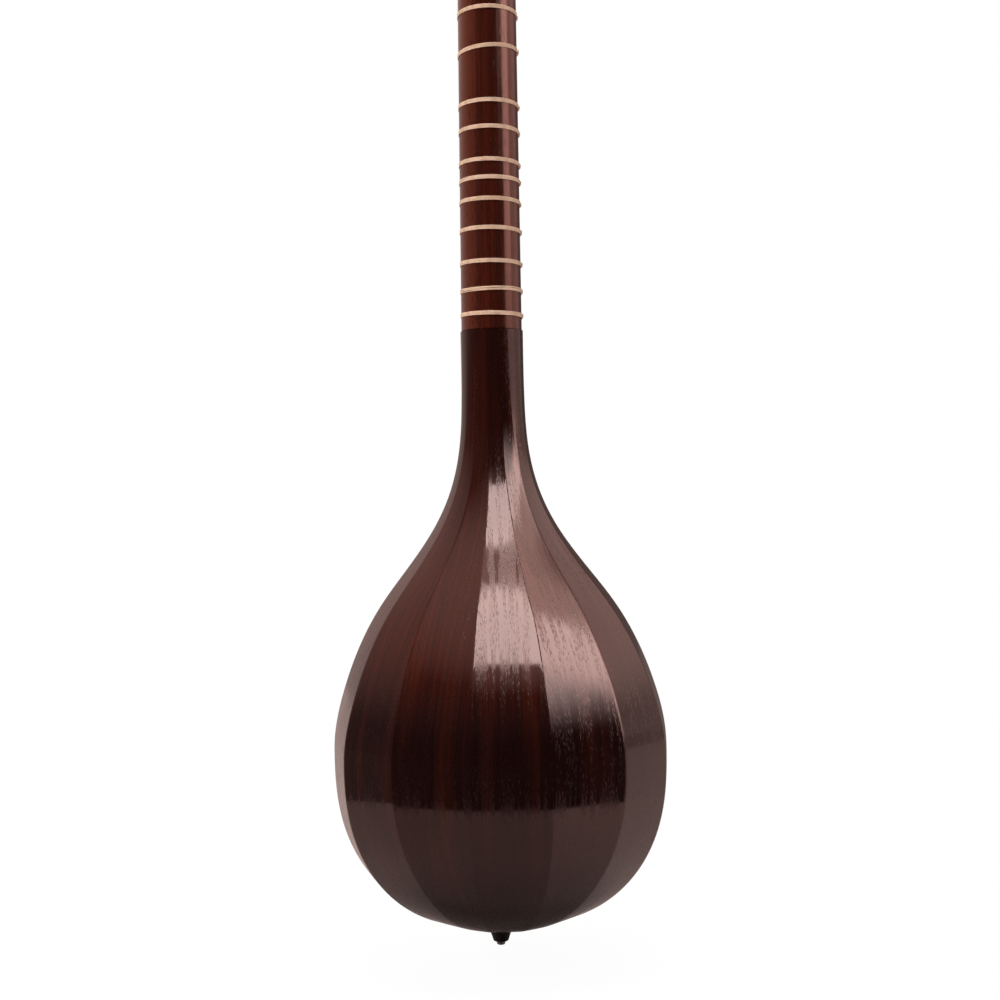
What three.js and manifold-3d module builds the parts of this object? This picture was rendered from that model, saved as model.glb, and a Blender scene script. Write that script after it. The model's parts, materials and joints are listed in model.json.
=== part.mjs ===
// Setar: a long-necked lute with a bowl of nine staves, tied gut frets, four strings and four pegs.
//
// Millimetres. +Z runs up the neck, -Y is the front with the soundboard and the strings, and +X is
// the treble side. The origin lies on the neck's centre line, in the plane of the bowl's rim, at the
// edge of the nut where the strings begin to sound.

import * as THREE from 'three';
import { mergeVertices } from 'three/addons/utils/BufferGeometryUtils.js';
import Module from 'manifold-3d';

const wasm = await Module();
wasm.setup();

// Clearances
const seatGap = 0.3;          // between a piece and what it is glued to or rests on
const runningGap = 0.4;       // between a peg and its hole, measured on the radius
const cutOverrun = 1;         // how far a cutting tool runs past the face that it cuts

// Strings: the sounding length sets the place of the bridge and of every fret
const stringLength = 665;
const trebleStringDiameter = 0.2;
const secondStringDiameter = 0.2;
const droneStringDiameter = 0.2;
const bassStringDiameter = 0.35;
const stringSides = 4;
const hookSteps = 5;          // of each string's half turn round the tail knob

// Bowl
const bowlLength = 273.2;     // tail end to neck joint
const bowlHalfWidth = 73.7;
const bowlDepth = 105.7;      // rim plane to the corners of the back
const widestHeight = 85.5;    // of the widest place, above the tail end
const bridgeHeightAboveTail = 70;
const tailOpening = 5;        // half width of the opening that the tips of the staves leave
const staveThickness = 3.5;
const staveProud = 0.4;       // how far the staves stand out over the neck at the joint
const widthRoundness = 2.54;  // exponents of the rounded tail end, seen from the front and the side
const depthRoundness = 2.93;
const tailRows = 9;
const rowsPerFlarePoint = 2;

// Neck and head
const nutWidth = 25;
const jointWidth = 28;
const headTopWidth = 22.8;
const nutDepth = 17.8;        // rim plane to the back of the neck
const jointDepth = 20;
const headTopDepth = 16.5;
const neckStraightSide = 1.2; // flat part of the neck's side, before its back curves
const neckArcSteps = 8;
const headLength = 118;
const headCapThickness = 4;
const fingerboardThickness = 3;
const tenonWidth = 11;
const tenonDepth = 10;
const tenonLength = 32;
const tenonInset = 3.5;       // from the rim plane to the tenon's front face
const neckBlockLength = 45;

// Nut and bridge
const nutThickness = 3.5;
const nutRise = 1.3;          // over the fingerboard
const bridgeLength = 52;
const bridgeHeight = 7;
const bridgeThickness = 4;
const bridgeFootLength = 9;
const bridgeArchHeight = 3.4;
const bridgeArchSteps = 8;

// Soundboard and what is glued behind it
const soundboardThickness = 3;
const soundHoleRadius = 1.3;
const soundHoleRing = 4.6;    // radius of the ring of holes round a middle one
const soundHoleSides = 6;
const flowerHoles = 6;        // holes in that ring
const tripleHoles = 3;        // holes in a group beside the bridge
const liningWidth = 4;
const liningDepth = 7;
const liningStart = 26;       // the linings start where the rim is this far from the centre line
const braceWidth = 6;
const braceDepth = 7;
const braceReach = 28;        // from the bridge to each brace
const endBlockHeight = 14;
const endBlockHalfWidth = 20;
const endBlockDepth = 24;

// Tail knob, a turned piece that holds the strings' lower ends, and its pin
const knobInset = 3.4;        // from the rim plane to the knob's axis
const knobRadius = 5;
const knobEndRadius = 3.5;
const knobEndLength = 2;      // of the plain lower end, below the taper
const knobTaperRadius = 4.05; // where the taper meets that end
const knobChamfer = 0.3;
const knobWaistRadius = 2.8;
const knobShankRadius = 2.5;
const knobShankLength = 12;
const knobLength = 10;
const knobCollar = 1.2;       // thickness of the collar against the bowl
const knobWaist = 2.1;        // length of the groove that the strings hook round
const knobRim = 2.2;          // thickness of the head's full width, under the groove
const knobSides = 16;
const pinTipRadius = 2;
const pinEndRadius = 1.6;
const pinTipLength = 1.5;
const pinRadius = 1;
const pinDepth = 12;

// Tuning pegs
const pegGrip = 13.5;         // length inside the head
const pegExposed = 8;         // shaft between the head and the peg's handle
const pegShaftRadius = 3.75;
const pegTipRadius = 3.45;
const pegHandleLength = 30;
const pegHandleRadius = 8;
const pegSides = 14;
const pegHoleSides = 16;
const sidePegInset = 6;       // from the rim plane to the axes of the two pegs in the head's side
const windingClearance = 1.6; // from the head's face to the winding on a peg
const windingPitch = 0.85;
const windingTurns = 3;
const windingSteps = 12;

// Tied frets
const gutDiameter = 0.45;
const gutPitch = 0.9;
const gutTurns = 3;
const fretTravel = 2.5;       // how far a fret may be pushed up or down from its place
const octaveCents = 1200;
const fretCents = [
  90, 135, 204, 294, 345, 408, 498, 565, 630, 702, 792, 837, 906, 996, 1041, 1110, 1200,
  1335, 1404, 1494, 1545, 1608, 1698, 1806, 1902, 1992,
];

// Corners of half the bowl's section, from the rim to the back: shares of its half width and depth
const widestCornerShares = [[0.951, 0], [1.012, 0.281], [0.934, 0.619], [0.658, 0.837], [0.228, 0.966]];
const tailCornerShares = [[0.951, 0], [1.012, 0.281], [0.83, 0.632], [0.41, 0.885], [0.2, 0.96]];
const neckCornerShares = [[1, 0], [0.985, 0.31], [0.83, 0.64], [0.53, 0.88], [0.18, 1]];

// The bowl above its widest place: share of the way up to the neck joint, and what is left there of
// the extra width and the extra depth that the bowl has over the neck
const flareShares = [
  [0.138, 0.924, 0.933], [0.252, 0.789, 0.784], [0.338, 0.636, 0.635], [0.424, 0.434, 0.47],
  [0.51, 0.245, 0.307], [0.595, 0.115, 0.161], [0.709, 0.028, 0.041], [0.822, 0.004, 0.007], [1, 0, 0],
];

// Places on the soundboard: shares of the bowl's half width and length
const flowerPlaceShares = [[0, 0.6], [-0.42, 0.45], [0.42, 0.45]];
const triplePlaceShares = [[-0.45, 0.2], [0.45, 0.2]];

// Places of the pegs, as shares of the head's length
const frontPegShares = [0.27, 0.645];
const sidePegShares = [0.46, 0.825];

// Places of the strings across the nut and the bridge, as shares of their lengths
const nutStringShares = { treble: 0.3, second: 0.065, drone: -0.225, bass: -0.32 };
const bridgeStringShares = { treble: 0.21, second: 0.04, drone: -0.155, bass: -0.21 };

// The peg's handle: share of its length, share of its radius
const pegHandleShares = [
  [0, 0.66], [0.05, 0.66], [0.07, 0.5], [0.2, 0.56], [0.36, 0.84], [0.56, 1], [0.76, 0.92],
  [0.9, 0.64], [1, 0.22],
];

// Where each string hooks round the tail knob, as a share of its waist's length, and where it
// crosses the soundboard's edge, as a share of the knob's radius
const hookLevelShares = { treble: 0.14, drone: 0.38, second: 0.62, bass: 0.86 };
const edgeShares = { treble: 0.52, second: 0.17, drone: -0.17, bass: -0.52 };

// Planes and heights that several pieces share
const tailZ = -stringLength - bridgeHeightAboveTail;
const jointZ = tailZ + bowlLength;
const boardFront = -(seatGap + soundboardThickness);
const fingerboardFront = -(seatGap + fingerboardThickness);
const nutTop = fingerboardFront - nutRise;
const bridgeTop = boardFront - seatGap - bridgeHeight;

const materials = {
  stave: new THREE.MeshStandardMaterial({ color: 0x3a1c16, roughness: 0.25 }),
  neck: new THREE.MeshStandardMaterial({ color: 0x4a1a12, roughness: 0.3 }),
  dark: new THREE.MeshStandardMaterial({ color: 0x1c1210, roughness: 0.4 }),
  board: new THREE.MeshStandardMaterial({ color: 0xb98a52, roughness: 0.5 }),
  inner: new THREE.MeshStandardMaterial({ color: 0xc8a878, roughness: 0.7 }),
  bone: new THREE.MeshStandardMaterial({ color: 0xe6dcc4, roughness: 0.4 }),
  gut: new THREE.MeshStandardMaterial({ color: 0xd9c09a, roughness: 0.5 }),
  steel: new THREE.MeshStandardMaterial({ color: 0xb8b8ba, roughness: 0.3, metalness: 1 }),
  bronze: new THREE.MeshStandardMaterial({ color: 0xc08a4a, roughness: 0.3, metalness: 1 }),
};

// Geometry helpers

function point(x, y, z) {
  return new THREE.Vector3(x, y, z);
}

function signedVolume(points, faces) {
  const cross = new THREE.Vector3();
  return faces.reduce((sum, [a, b, c]) => sum + points[a].dot(cross.crossVectors(points[b], points[c])), 0);
}

// One closed body from points and triangles, turned so that its faces point out
function closedBody(points, faces) {
  const turned = signedVolume(points, faces) < 0 ? faces.map(([a, b, c]) => [a, c, b]) : faces;
  const geometry = new THREE.BufferGeometry().setFromPoints(points);
  geometry.setIndex(turned.flat());
  return geometry;
}

// A body through rings of equally many points, with both ends closed
function loft(rings) {
  const count = rings[0].length;
  const last = (rings.length - 1) * count;
  const faces = [];
  for (let ring = 0; ring + 1 < rings.length; ring += 1) {
    for (let corner = 0; corner < count; corner += 1) {
      const a = ring * count + corner;
      const b = ring * count + ((corner + 1) % count);
      faces.push([a, b, b + count], [a, b + count, a + count]);
    }
  }
  for (let corner = 1; corner + 1 < count; corner += 1) {
    faces.push([0, corner + 1, corner], [last, last + corner, last + corner + 1]);
  }
  return closedBody(rings.flat(), faces);
}

function bareGeometry(geometry) {
  const bare = geometry.clone();
  bare.deleteAttribute('normal');
  bare.deleteAttribute('uv');
  return mergeVertices(bare);
}

function toSolid(geometry) {
  const bare = bareGeometry(geometry);
  const mesh = new wasm.Mesh({
    numProp: 3,
    vertProperties: new Float32Array(bare.attributes.position.array),
    triVerts: new Uint32Array(bare.index.array),
  });
  return new wasm.Manifold(mesh);
}

function fromSolid(solid) {
  const { vertProperties, triVerts } = solid.getMesh();
  const geometry = new THREE.BufferGeometry();
  geometry.setAttribute('position', new THREE.BufferAttribute(new Float32Array(vertProperties), 3));
  geometry.setIndex(new THREE.BufferAttribute(new Uint32Array(triVerts), 1));
  return geometry;
}

function cut(body, ...tools) {
  return fromSolid(tools.reduce((solid, tool) => solid.subtract(toSolid(tool)), toSolid(body)));
}

function box(low, high) {
  const size = high.clone().sub(low);
  const middle = low.clone().add(high).multiplyScalar(0.5);
  return new THREE.BoxGeometry(size.x, size.y, size.z).translate(middle.x, middle.y, middle.z);
}

// Points of a closed outline moved outwards by a distance, with its corners kept sharp
function grownOutline(outline, distance) {
  const area = THREE.ShapeUtils.area(outline);
  const normalOf = (from, to) => {
    const edge = to.clone().sub(from).normalize();
    return new THREE.Vector2(edge.y, -edge.x).multiplyScalar(Math.sign(area));
  };
  return outline.map((corner, index) => {
    const before = outline[(index + outline.length - 1) % outline.length];
    const after = outline[(index + 1) % outline.length];
    const first = normalOf(before, corner);
    const second = normalOf(corner, after);
    const reach = distance / (1 + first.dot(second));
    return corner.clone().addScaledVector(first.add(second), reach);
  });
}

// A round tube along a list of points, with its ends closed
function tube(points, radius, sides) {
  const rings = [];
  let across = null;
  points.forEach((here, index) => {
    const before = points[Math.max(index - 1, 0)];
    const after = points[Math.min(index + 1, points.length - 1)];
    const along = after.clone().sub(before).normalize();
    if (across === null) {
      const guide = Math.abs(along.x) < Math.abs(along.y) ? point(1, 0, 0) : point(0, 1, 0);
      across = guide.addScaledVector(along, -guide.dot(along)).normalize();
    } else {
      across.addScaledVector(along, -across.dot(along)).normalize();
    }
    const upward = along.clone().cross(across);
    const ring = [];
    for (let side = 0; side < sides; side += 1) {
      const angle = (side / sides) * 2 * Math.PI;
      ring.push(here.clone()
        .addScaledVector(across, radius * Math.cos(angle))
        .addScaledVector(upward, radius * Math.sin(angle)));
    }
    rings.push(ring);
  });
  return loft(rings);
}

// The least gap between turns of one strand, measured between points that are half a turn apart or more
function leastGap(points, stepsPerTurn, thickness) {
  let least = Infinity;
  for (let first = 0; first < points.length; first += 1) {
    for (let second = first + Math.ceil(stepsPerTurn / 2); second < points.length; second += 1) {
      least = Math.min(least, points[first].distanceTo(points[second]) - thickness);
    }
  }
  return least;
}

const setar = new THREE.Group();
const bowl = new THREE.Group();
bowl.position.z = tailZ;
setar.add(bowl);

function addPiece(parent, name, geometry, material) {
  const mesh = new THREE.Mesh(geometry, material);
  mesh.name = name;
  parent.add(mesh);
  return mesh;
}

// Neck section

function alongNeck(atNut, atJoint, z) {
  return THREE.MathUtils.mapLinear(z, 0, jointZ, atNut, atJoint);
}

function neckSize(z) {
  if (z > 0) {
    const share = z / headLength;
    return {
      halfWidth: THREE.MathUtils.lerp(nutWidth, headTopWidth, share) / 2,
      depth: THREE.MathUtils.lerp(nutDepth, headTopDepth, share),
    };
  }
  return { halfWidth: alongNeck(nutWidth, jointWidth, z) / 2, depth: alongNeck(nutDepth, jointDepth, z) };
}

// Outline of the neck at one height: a flat front, short straight sides and a half ellipse behind
function neckOutline(z, front) {
  const { halfWidth, depth } = neckSize(z);
  const outline = [new THREE.Vector2(-halfWidth, front)];
  for (let step = 0; step <= neckArcSteps; step += 1) {
    const angle = (step / neckArcSteps) * Math.PI;
    const behind = neckStraightSide + (depth - neckStraightSide) * Math.sin(angle);
    outline.push(new THREE.Vector2(-halfWidth * Math.cos(angle), behind));
  }
  outline.push(new THREE.Vector2(halfWidth, front));
  return outline;
}

function neckRing(z, front, sectionZ = z) {
  return neckOutline(sectionZ, front).map(({ x, y }) => point(x, y, z));
}

// Bowl surface: rows of corners from the tail end to the neck joint, in the bowl's own frame

const bowlNeckHalfWidth = jointWidth / 2 + staveProud;
const bowlNeckDepth = jointDepth + staveProud;

function blendedShares(from, to, share) {
  return from.map(([x, y], index) => [
    THREE.MathUtils.lerp(x, to[index][0], share),
    THREE.MathUtils.lerp(y, to[index][1], share),
  ]);
}

function bowlRow(height, halfWidth, depth) {
  const below = height < widestHeight;
  const away = below ? 1 - height / widestHeight : (height - widestHeight) / (bowlLength - widestHeight);
  const shares = blendedShares(widestCornerShares, below ? tailCornerShares : neckCornerShares, away ** 2);
  const treble = shares.map(([x, y]) => point(x * halfWidth, y * depth, height));
  const bass = treble.map(({ x, y, z }) => point(-x, y, z));
  return [...bass, ...treble.reverse()];
}

function bowlRows() {
  const rows = [];
  const firstAngle = Math.asin(tailOpening / bowlHalfWidth);
  for (let step = 0; step < tailRows; step += 1) {
    const angle = THREE.MathUtils.lerp(firstAngle, Math.PI / 2, step / tailRows);
    const height = widestHeight * (1 - Math.cos(angle) ** (2 / widthRoundness));
    const depth = bowlDepth * Math.sqrt(1 - (1 - height / widestHeight) ** depthRoundness);
    rows.push(bowlRow(height, bowlHalfWidth * Math.sin(angle), depth));
  }
  const [[firstUp, firstWide, firstDeep]] = flareShares;
  const flare = [[-firstUp, firstWide, firstDeep], [0, 1, 1], ...flareShares];
  const curve = new THREE.CatmullRomCurve3(flare.map(([up, wide, deep]) => point(
    THREE.MathUtils.lerp(bowlNeckHalfWidth, bowlHalfWidth, wide),
    THREE.MathUtils.lerp(bowlNeckDepth, bowlDepth, deep),
    THREE.MathUtils.lerp(widestHeight, bowlLength, up),
  )));
  const steps = flareShares.length * rowsPerFlarePoint;
  const start = 1 / (flare.length - 1);
  for (let step = 0; step <= steps; step += 1) {
    const place = curve.getPoint(THREE.MathUtils.lerp(start, 1, step / steps));
    rows.push(bowlRow(place.z, place.x, place.y));
  }
  return rows;
}

const rows = bowlRows();
const lastRow = rows.length - 1;
const lastCorner = rows[0].length - 1;

// The outward direction at a corner; rim corners stay in the rim plane and the last row in its own
function outwardAt(row, corner) {
  const along = rows[Math.min(row + 1, lastRow)][corner].clone().sub(rows[Math.max(row - 1, 0)][corner]);
  const next = rows[row][Math.min(corner + 1, lastCorner)];
  const across = next.clone().sub(rows[row][Math.max(corner - 1, 0)]);
  const outward = along.cross(across);
  if (corner === 0 || corner === lastCorner) {
    outward.y = 0;
  }
  if (row === lastRow) {
    outward.z = 0;
  }
  outward.normalize();
  const middle = point(0, 0, widestHeight);
  const away = row === lastRow ? rows[row][corner].clone().setZ(0) : rows[row][corner].clone().sub(middle);
  return outward.multiplyScalar(Math.sign(outward.dot(away)));
}

function bowlPoint(row, corner, inset) {
  return rows[row][corner].clone().addScaledVector(outwardAt(row, corner), -inset);
}

function movedToward(from, to, distance) {
  return from.clone().addScaledVector(to.clone().sub(from).normalize(), distance);
}

function staveBody(stave) {
  const lowGap = stave === 0 ? 0 : seatGap / 2;
  const highGap = stave + 1 === lastCorner ? 0 : seatGap / 2;
  return loft(rows.map((_, row) => {
    const outer = [bowlPoint(row, stave, 0), bowlPoint(row, stave + 1, 0)];
    const inner = [bowlPoint(row, stave, staveThickness), bowlPoint(row, stave + 1, staveThickness)];
    return [
      movedToward(outer[0], outer[1], lowGap), movedToward(outer[1], outer[0], highGap),
      movedToward(inner[1], inner[0], highGap), movedToward(inner[0], inner[1], lowGap),
    ];
  }));
}

for (let stave = 0; stave < lastCorner; stave += 1) {
  addPiece(bowl, `bowl_stave_${stave + 1}`, staveBody(stave), materials.stave);
}

// What fills the bowl's inside up to its staves; the blocks are cut out of it

function cavityBody() {
  const corners = rows[0].map((_, corner) => corner);
  return loft(rows.map((_, row) => corners.map((corner) => bowlPoint(row, corner, staveThickness + seatGap))));
}

function cavityPart(low, high) {
  return toSolid(cavityBody()).intersect(toSolid(box(low, high)));
}

const mortise = box(
  point(-tenonWidth / 2 - seatGap, tenonInset - seatGap, bowlLength - tenonLength - seatGap),
  point(tenonWidth / 2 + seatGap, tenonInset + tenonDepth + seatGap, bowlLength + cutOverrun),
);
const neckBlock = cavityPart(
  point(-bowlHalfWidth, 0, bowlLength - neckBlockLength),
  point(bowlHalfWidth, bowlDepth, bowlLength),
);
addPiece(bowl, 'neck_block', cut(fromSolid(neckBlock), mortise), materials.inner);

const shankHole = new THREE.CylinderGeometry(
  knobShankRadius + runningGap, knobShankRadius + runningGap, 2 * (endBlockHeight + cutOverrun), knobSides,
).rotateX(Math.PI / 2).translate(0, knobInset, 0);
const endBlock = cavityPart(
  point(-endBlockHalfWidth, 0, 0),
  point(endBlockHalfWidth, endBlockDepth, endBlockHeight),
);
addPiece(bowl, 'end_block', cut(fromSolid(endBlock), shankHole), materials.inner);

// Linings: strips that follow the rim inside, from the end block to the neck block

function rimInside(row, side) {
  return side * Math.abs(bowlPoint(row, 0, staveThickness + seatGap).x);
}

function liningBody(side) {
  const topHeight = bowlLength - neckBlockLength - seatGap;
  const rings = [];
  rows.forEach((_, row) => {
    const { z } = bowlPoint(row, 0, staveThickness + seatGap);
    const outer = rimInside(row, side);
    if (Math.abs(outer) > liningStart && z < topHeight) {
      const inner = outer - side * liningWidth;
      rings.push([
        point(outer, 0, z), point(inner, 0, z), point(inner, liningDepth, z), point(outer, liningDepth, z),
      ]);
    }
  });
  return loft(rings);
}

addPiece(bowl, 'rim_lining_bass', liningBody(-1), materials.inner);
addPiece(bowl, 'rim_lining_treble', liningBody(1), materials.inner);

// Soundboard, with flowers of seven small holes and triples beside the bridge

function holePath(x, z) {
  const path = new THREE.Path();
  for (let side = 0; side < soundHoleSides; side += 1) {
    const angle = (side / soundHoleSides) * 2 * Math.PI;
    const move = side === 0 ? 'moveTo' : 'lineTo';
    path[move](x + soundHoleRadius * Math.cos(angle), z + soundHoleRadius * Math.sin(angle));
  }
  path.closePath();
  return path;
}

function holesRound([wideShare, highShare], count) {
  const x = wideShare * bowlHalfWidth;
  const z = highShare * bowlLength;
  const paths = [];
  for (let hole = 0; hole < count; hole += 1) {
    const angle = (hole / count) * 2 * Math.PI;
    paths.push(holePath(x + soundHoleRing * Math.sin(angle), z + soundHoleRing * Math.cos(angle)));
  }
  return paths;
}

function soundboardBody() {
  const bassEdge = rows.map((row) => new THREE.Vector2(row[0].x, row[0].z));
  const trebleEdge = rows.map((row) => new THREE.Vector2(row[lastCorner].x, row[lastCorner].z)).reverse();
  const shape = new THREE.Shape([new THREE.Vector2(0, 0), ...bassEdge, ...trebleEdge]);
  flowerPlaceShares.forEach(([wide, high]) => {
    shape.holes.push(holePath(wide * bowlHalfWidth, high * bowlLength), ...holesRound([wide, high], flowerHoles));
  });
  triplePlaceShares.forEach((place) => shape.holes.push(...holesRound(place, tripleHoles)));
  return new THREE.ExtrudeGeometry(shape, { depth: soundboardThickness, bevelEnabled: false })
    .rotateX(Math.PI / 2)
    .translate(0, -seatGap, 0);
}

addPiece(bowl, 'soundboard', bareGeometry(soundboardBody()), materials.board);

// Braces across the soundboard, between the linings

function halfWidthInside(height) {
  const above = rows.findIndex((row) => row[0].z > height);
  return Math.min(Math.abs(rimInside(above, 1)), Math.abs(rimInside(above - 1, 1))) - liningWidth - seatGap;
}

function braceBody(height) {
  const reach = Math.min(halfWidthInside(height - braceWidth / 2), halfWidthInside(height + braceWidth / 2));
  return box(
    point(-reach, 0, height - braceWidth / 2),
    point(reach, braceDepth, height + braceWidth / 2),
  );
}

addPiece(bowl, 'lower_brace', braceBody(bridgeHeightAboveTail - braceReach), materials.inner);
addPiece(bowl, 'upper_brace', braceBody(bridgeHeightAboveTail + braceReach), materials.inner);

// Bridge: a low bar on two feet, with an arch between them

function bridgeBody() {
  const half = bridgeLength / 2;
  const archHalf = half - bridgeFootLength;
  const shape = new THREE.Shape();
  shape.moveTo(-half, 0);
  shape.lineTo(-archHalf, 0);
  for (let step = 1; step < bridgeArchSteps; step += 1) {
    const angle = Math.PI * (1 - step / bridgeArchSteps);
    shape.lineTo(archHalf * Math.cos(angle), bridgeArchHeight * Math.sin(angle));
  }
  shape.lineTo(archHalf, 0);
  shape.lineTo(half, 0);
  shape.lineTo(half - bridgeFootLength / 2, bridgeHeight);
  shape.lineTo(bridgeFootLength / 2 - half, bridgeHeight);
  shape.closePath();
  return new THREE.ExtrudeGeometry(shape, { depth: bridgeThickness, bevelEnabled: false })
    .translate(0, 0, -bridgeThickness / 2)
    .rotateX(Math.PI)
    .translate(0, boardFront - seatGap, 0);
}

addPiece(bowl, 'bridge', bareGeometry(bridgeBody()), materials.dark).position.z = bridgeHeightAboveTail;

// Tail knob: a turned mushroom whose shank sits in the end block; a pin runs up its middle

function turned(profile, sides) {
  const points = profile.map(([radius, height]) => new THREE.Vector2(radius, height));
  return bareGeometry(new THREE.LatheGeometry(points, sides).rotateX(Math.PI / 2));
}

const collarBottom = -seatGap - knobCollar;
const waistBottom = collarBottom - knobWaist;
const knobBottom = -seatGap - knobLength;
const pinBore = pinRadius + seatGap;

addPiece(bowl, 'tail_knob', turned([
  [pinBore, knobBottom],
  [knobEndRadius, knobBottom],
  [knobTaperRadius, knobBottom + knobEndLength],
  [knobRadius, waistBottom - knobRim],
  [knobRadius, waistBottom - knobChamfer],
  [knobWaistRadius, waistBottom],
  [knobWaistRadius, collarBottom],
  [knobRadius, collarBottom],
  [knobRadius, -seatGap],
  [knobShankRadius, -seatGap],
  [knobShankRadius, knobShankLength],
  [pinBore, knobShankLength],
  [pinBore, knobBottom],
], knobSides), materials.dark).position.y = knobInset;

addPiece(bowl, 'tail_pin', turned([
  [0, knobBottom - seatGap - pinTipLength],
  [pinEndRadius, knobBottom - seatGap - pinTipLength],
  [pinTipRadius, knobBottom - seatGap - pinTipLength / 2],
  [pinTipRadius, knobBottom - seatGap],
  [pinRadius, knobBottom - seatGap],
  [pinRadius, knobBottom - seatGap + pinDepth],
  [0, knobBottom - seatGap + pinDepth],
], knobSides), materials.steel).position.y = knobInset;

// Tuning pegs. In its own frame a peg points along +Y, with zero at the head's face

function pegBody() {
  const handle = pegHandleShares.map(([along, wide]) => [
    wide * pegHandleRadius,
    pegExposed + along * pegHandleLength,
  ]);
  const profile = [
    [0, -pegGrip], [pegTipRadius, -pegGrip], [pegShaftRadius, 0], [pegShaftRadius, pegExposed],
    ...handle, [0, pegExposed + pegHandleLength],
  ];
  return bareGeometry(new THREE.LatheGeometry(
    profile.map(([radius, along]) => new THREE.Vector2(radius, along)), pegSides,
  ));
}

function pegHole() {
  const length = pegGrip + seatGap + cutOverrun;
  const taper = (pegShaftRadius - pegTipRadius) / pegGrip;
  const mouth = pegShaftRadius + runningGap + taper * cutOverrun;
  const bottom = pegTipRadius + runningGap - taper * seatGap;
  return new THREE.CylinderGeometry(mouth, bottom, length, pegHoleSides)
    .translate(0, cutOverrun - length / 2, 0);
}

// Each peg's frame: where it enters the head, its turn, and the directions that its winding uses
function pegPlaces() {
  const places = frontPegShares.map((share) => ({
    position: point(0, 0, share * headLength),
    rotation: new THREE.Euler(Math.PI, 0, 0),
    outward: point(0, -1, 0),
    toString: point(1, 0, 0),
  }));
  sidePegShares.forEach((share) => {
    const height = share * headLength;
    places.push({
      position: point(-neckSize(height).halfWidth, sidePegInset, height),
      rotation: new THREE.Euler(0, 0, Math.PI / 2),
      outward: point(-1, 0, 0),
      toString: point(0, -1, 0),
    });
  });
  return places;
}

const [secondPeg, treblePeg, bassPeg, dronePeg] = pegPlaces();
const pegs = { second: secondPeg, treble: treblePeg, bass: bassPeg, drone: dronePeg };

function placedAtPeg(geometry, place) {
  const turn = new THREE.Matrix4().makeRotationFromEuler(place.rotation).setPosition(place.position);
  return geometry.applyMatrix4(turn);
}

const pegGeometry = pegBody();
Object.entries(pegs).forEach(([string, place]) => {
  const peg = addPiece(setar, `${string}_peg`, pegGeometry, materials.dark);
  peg.position.copy(place.position);
  peg.rotation.copy(place.rotation);
});

// Neck: one piece of wood from the tenon in the bowl to the top of the head

function neckBody() {
  const foot = jointZ + seatGap;
  const shaft = loft([neckRing(foot, 0), neckRing(0, 0), neckRing(headLength, 0)]);
  const tenon = box(
    point(-tenonWidth / 2, tenonInset, jointZ - tenonLength),
    point(tenonWidth / 2, tenonInset + tenonDepth, foot + cutOverrun),
  );
  const whole = fromSolid(toSolid(shaft).add(toSolid(tenon)));
  return cut(whole, ...Object.values(pegs).map((place) => placedAtPeg(pegHole(), place)));
}

addPiece(setar, 'neck', neckBody(), materials.neck);

const capFoot = headLength + seatGap;
addPiece(setar, 'head_cap', loft([
  neckRing(capFoot, 0, headLength), neckRing(capFoot + headCapThickness, 0, headLength),
]), materials.dark);

// Fingerboard: a thin strip on the neck's front, up to the nut

function stripRing(z) {
  const { halfWidth } = neckSize(z);
  return [
    point(-halfWidth, -seatGap, z), point(halfWidth, -seatGap, z),
    point(halfWidth, fingerboardFront, z), point(-halfWidth, fingerboardFront, z),
  ];
}

addPiece(setar, 'fingerboard', loft([stripRing(jointZ + seatGap), stripRing(-seatGap)]), materials.dark);

addPiece(setar, 'nut', box(
  point(-nutWidth / 2, nutTop, 0),
  point(nutWidth / 2, -seatGap, nutThickness),
), materials.bone);

// Tied frets: one strand of gut wound round the neck and its fingerboard

function windingPoints(outline) {
  const steps = gutTurns * outline.length;
  const points = [];
  for (let step = 0; step <= steps; step += 1) {
    const { x, y } = outline[step % outline.length];
    points.push(point(x, y, (step / outline.length - gutTurns / 2) * gutPitch));
  }
  return points;
}

function fretBody(z) {
  const outline = neckOutline(z, fingerboardFront);
  const inside = windingPoints(grownOutline(outline, seatGap));
  const outside = windingPoints(grownOutline(outline, seatGap + gutDiameter));
  const up = point(0, 0, gutDiameter / 2);
  const winding = loft(inside.map((near, step) => [
    near.clone().sub(up), outside[step].clone().sub(up), outside[step].clone().add(up), near.clone().add(up),
  ]));
  return { winding, inside };
}

// The neck takes every fret of the scale that has room above the bowl, pushed down as far as it goes
const fretHalfHeight = (gutTurns * gutPitch + gutDiameter) / 2;
const lowestFret = jointZ + seatGap + fretHalfHeight + fretTravel;
const fretPlaces = fretCents
  .map((cents) => -stringLength * (1 - 2 ** (-cents / octaveCents)))
  .filter((z) => z > lowestFret);

let leastFretGap = Infinity;
fretPlaces.forEach((z, index) => {
  const { winding, inside } = fretBody(z);
  const name = `fret_${String(index + 1).padStart(2, '0')}`;
  addPiece(setar, name, winding, materials.gut).position.z = z;
  leastFretGap = Math.min(leastFretGap, leastGap(inside, inside.length / gutTurns, gutDiameter));
});
console.log(`fret windings: least gap between turns ${leastFretGap.toFixed(2)} mm`);

// Strings: hooked round the tail knob, over the bridge and the nut, and wound on a peg

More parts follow.
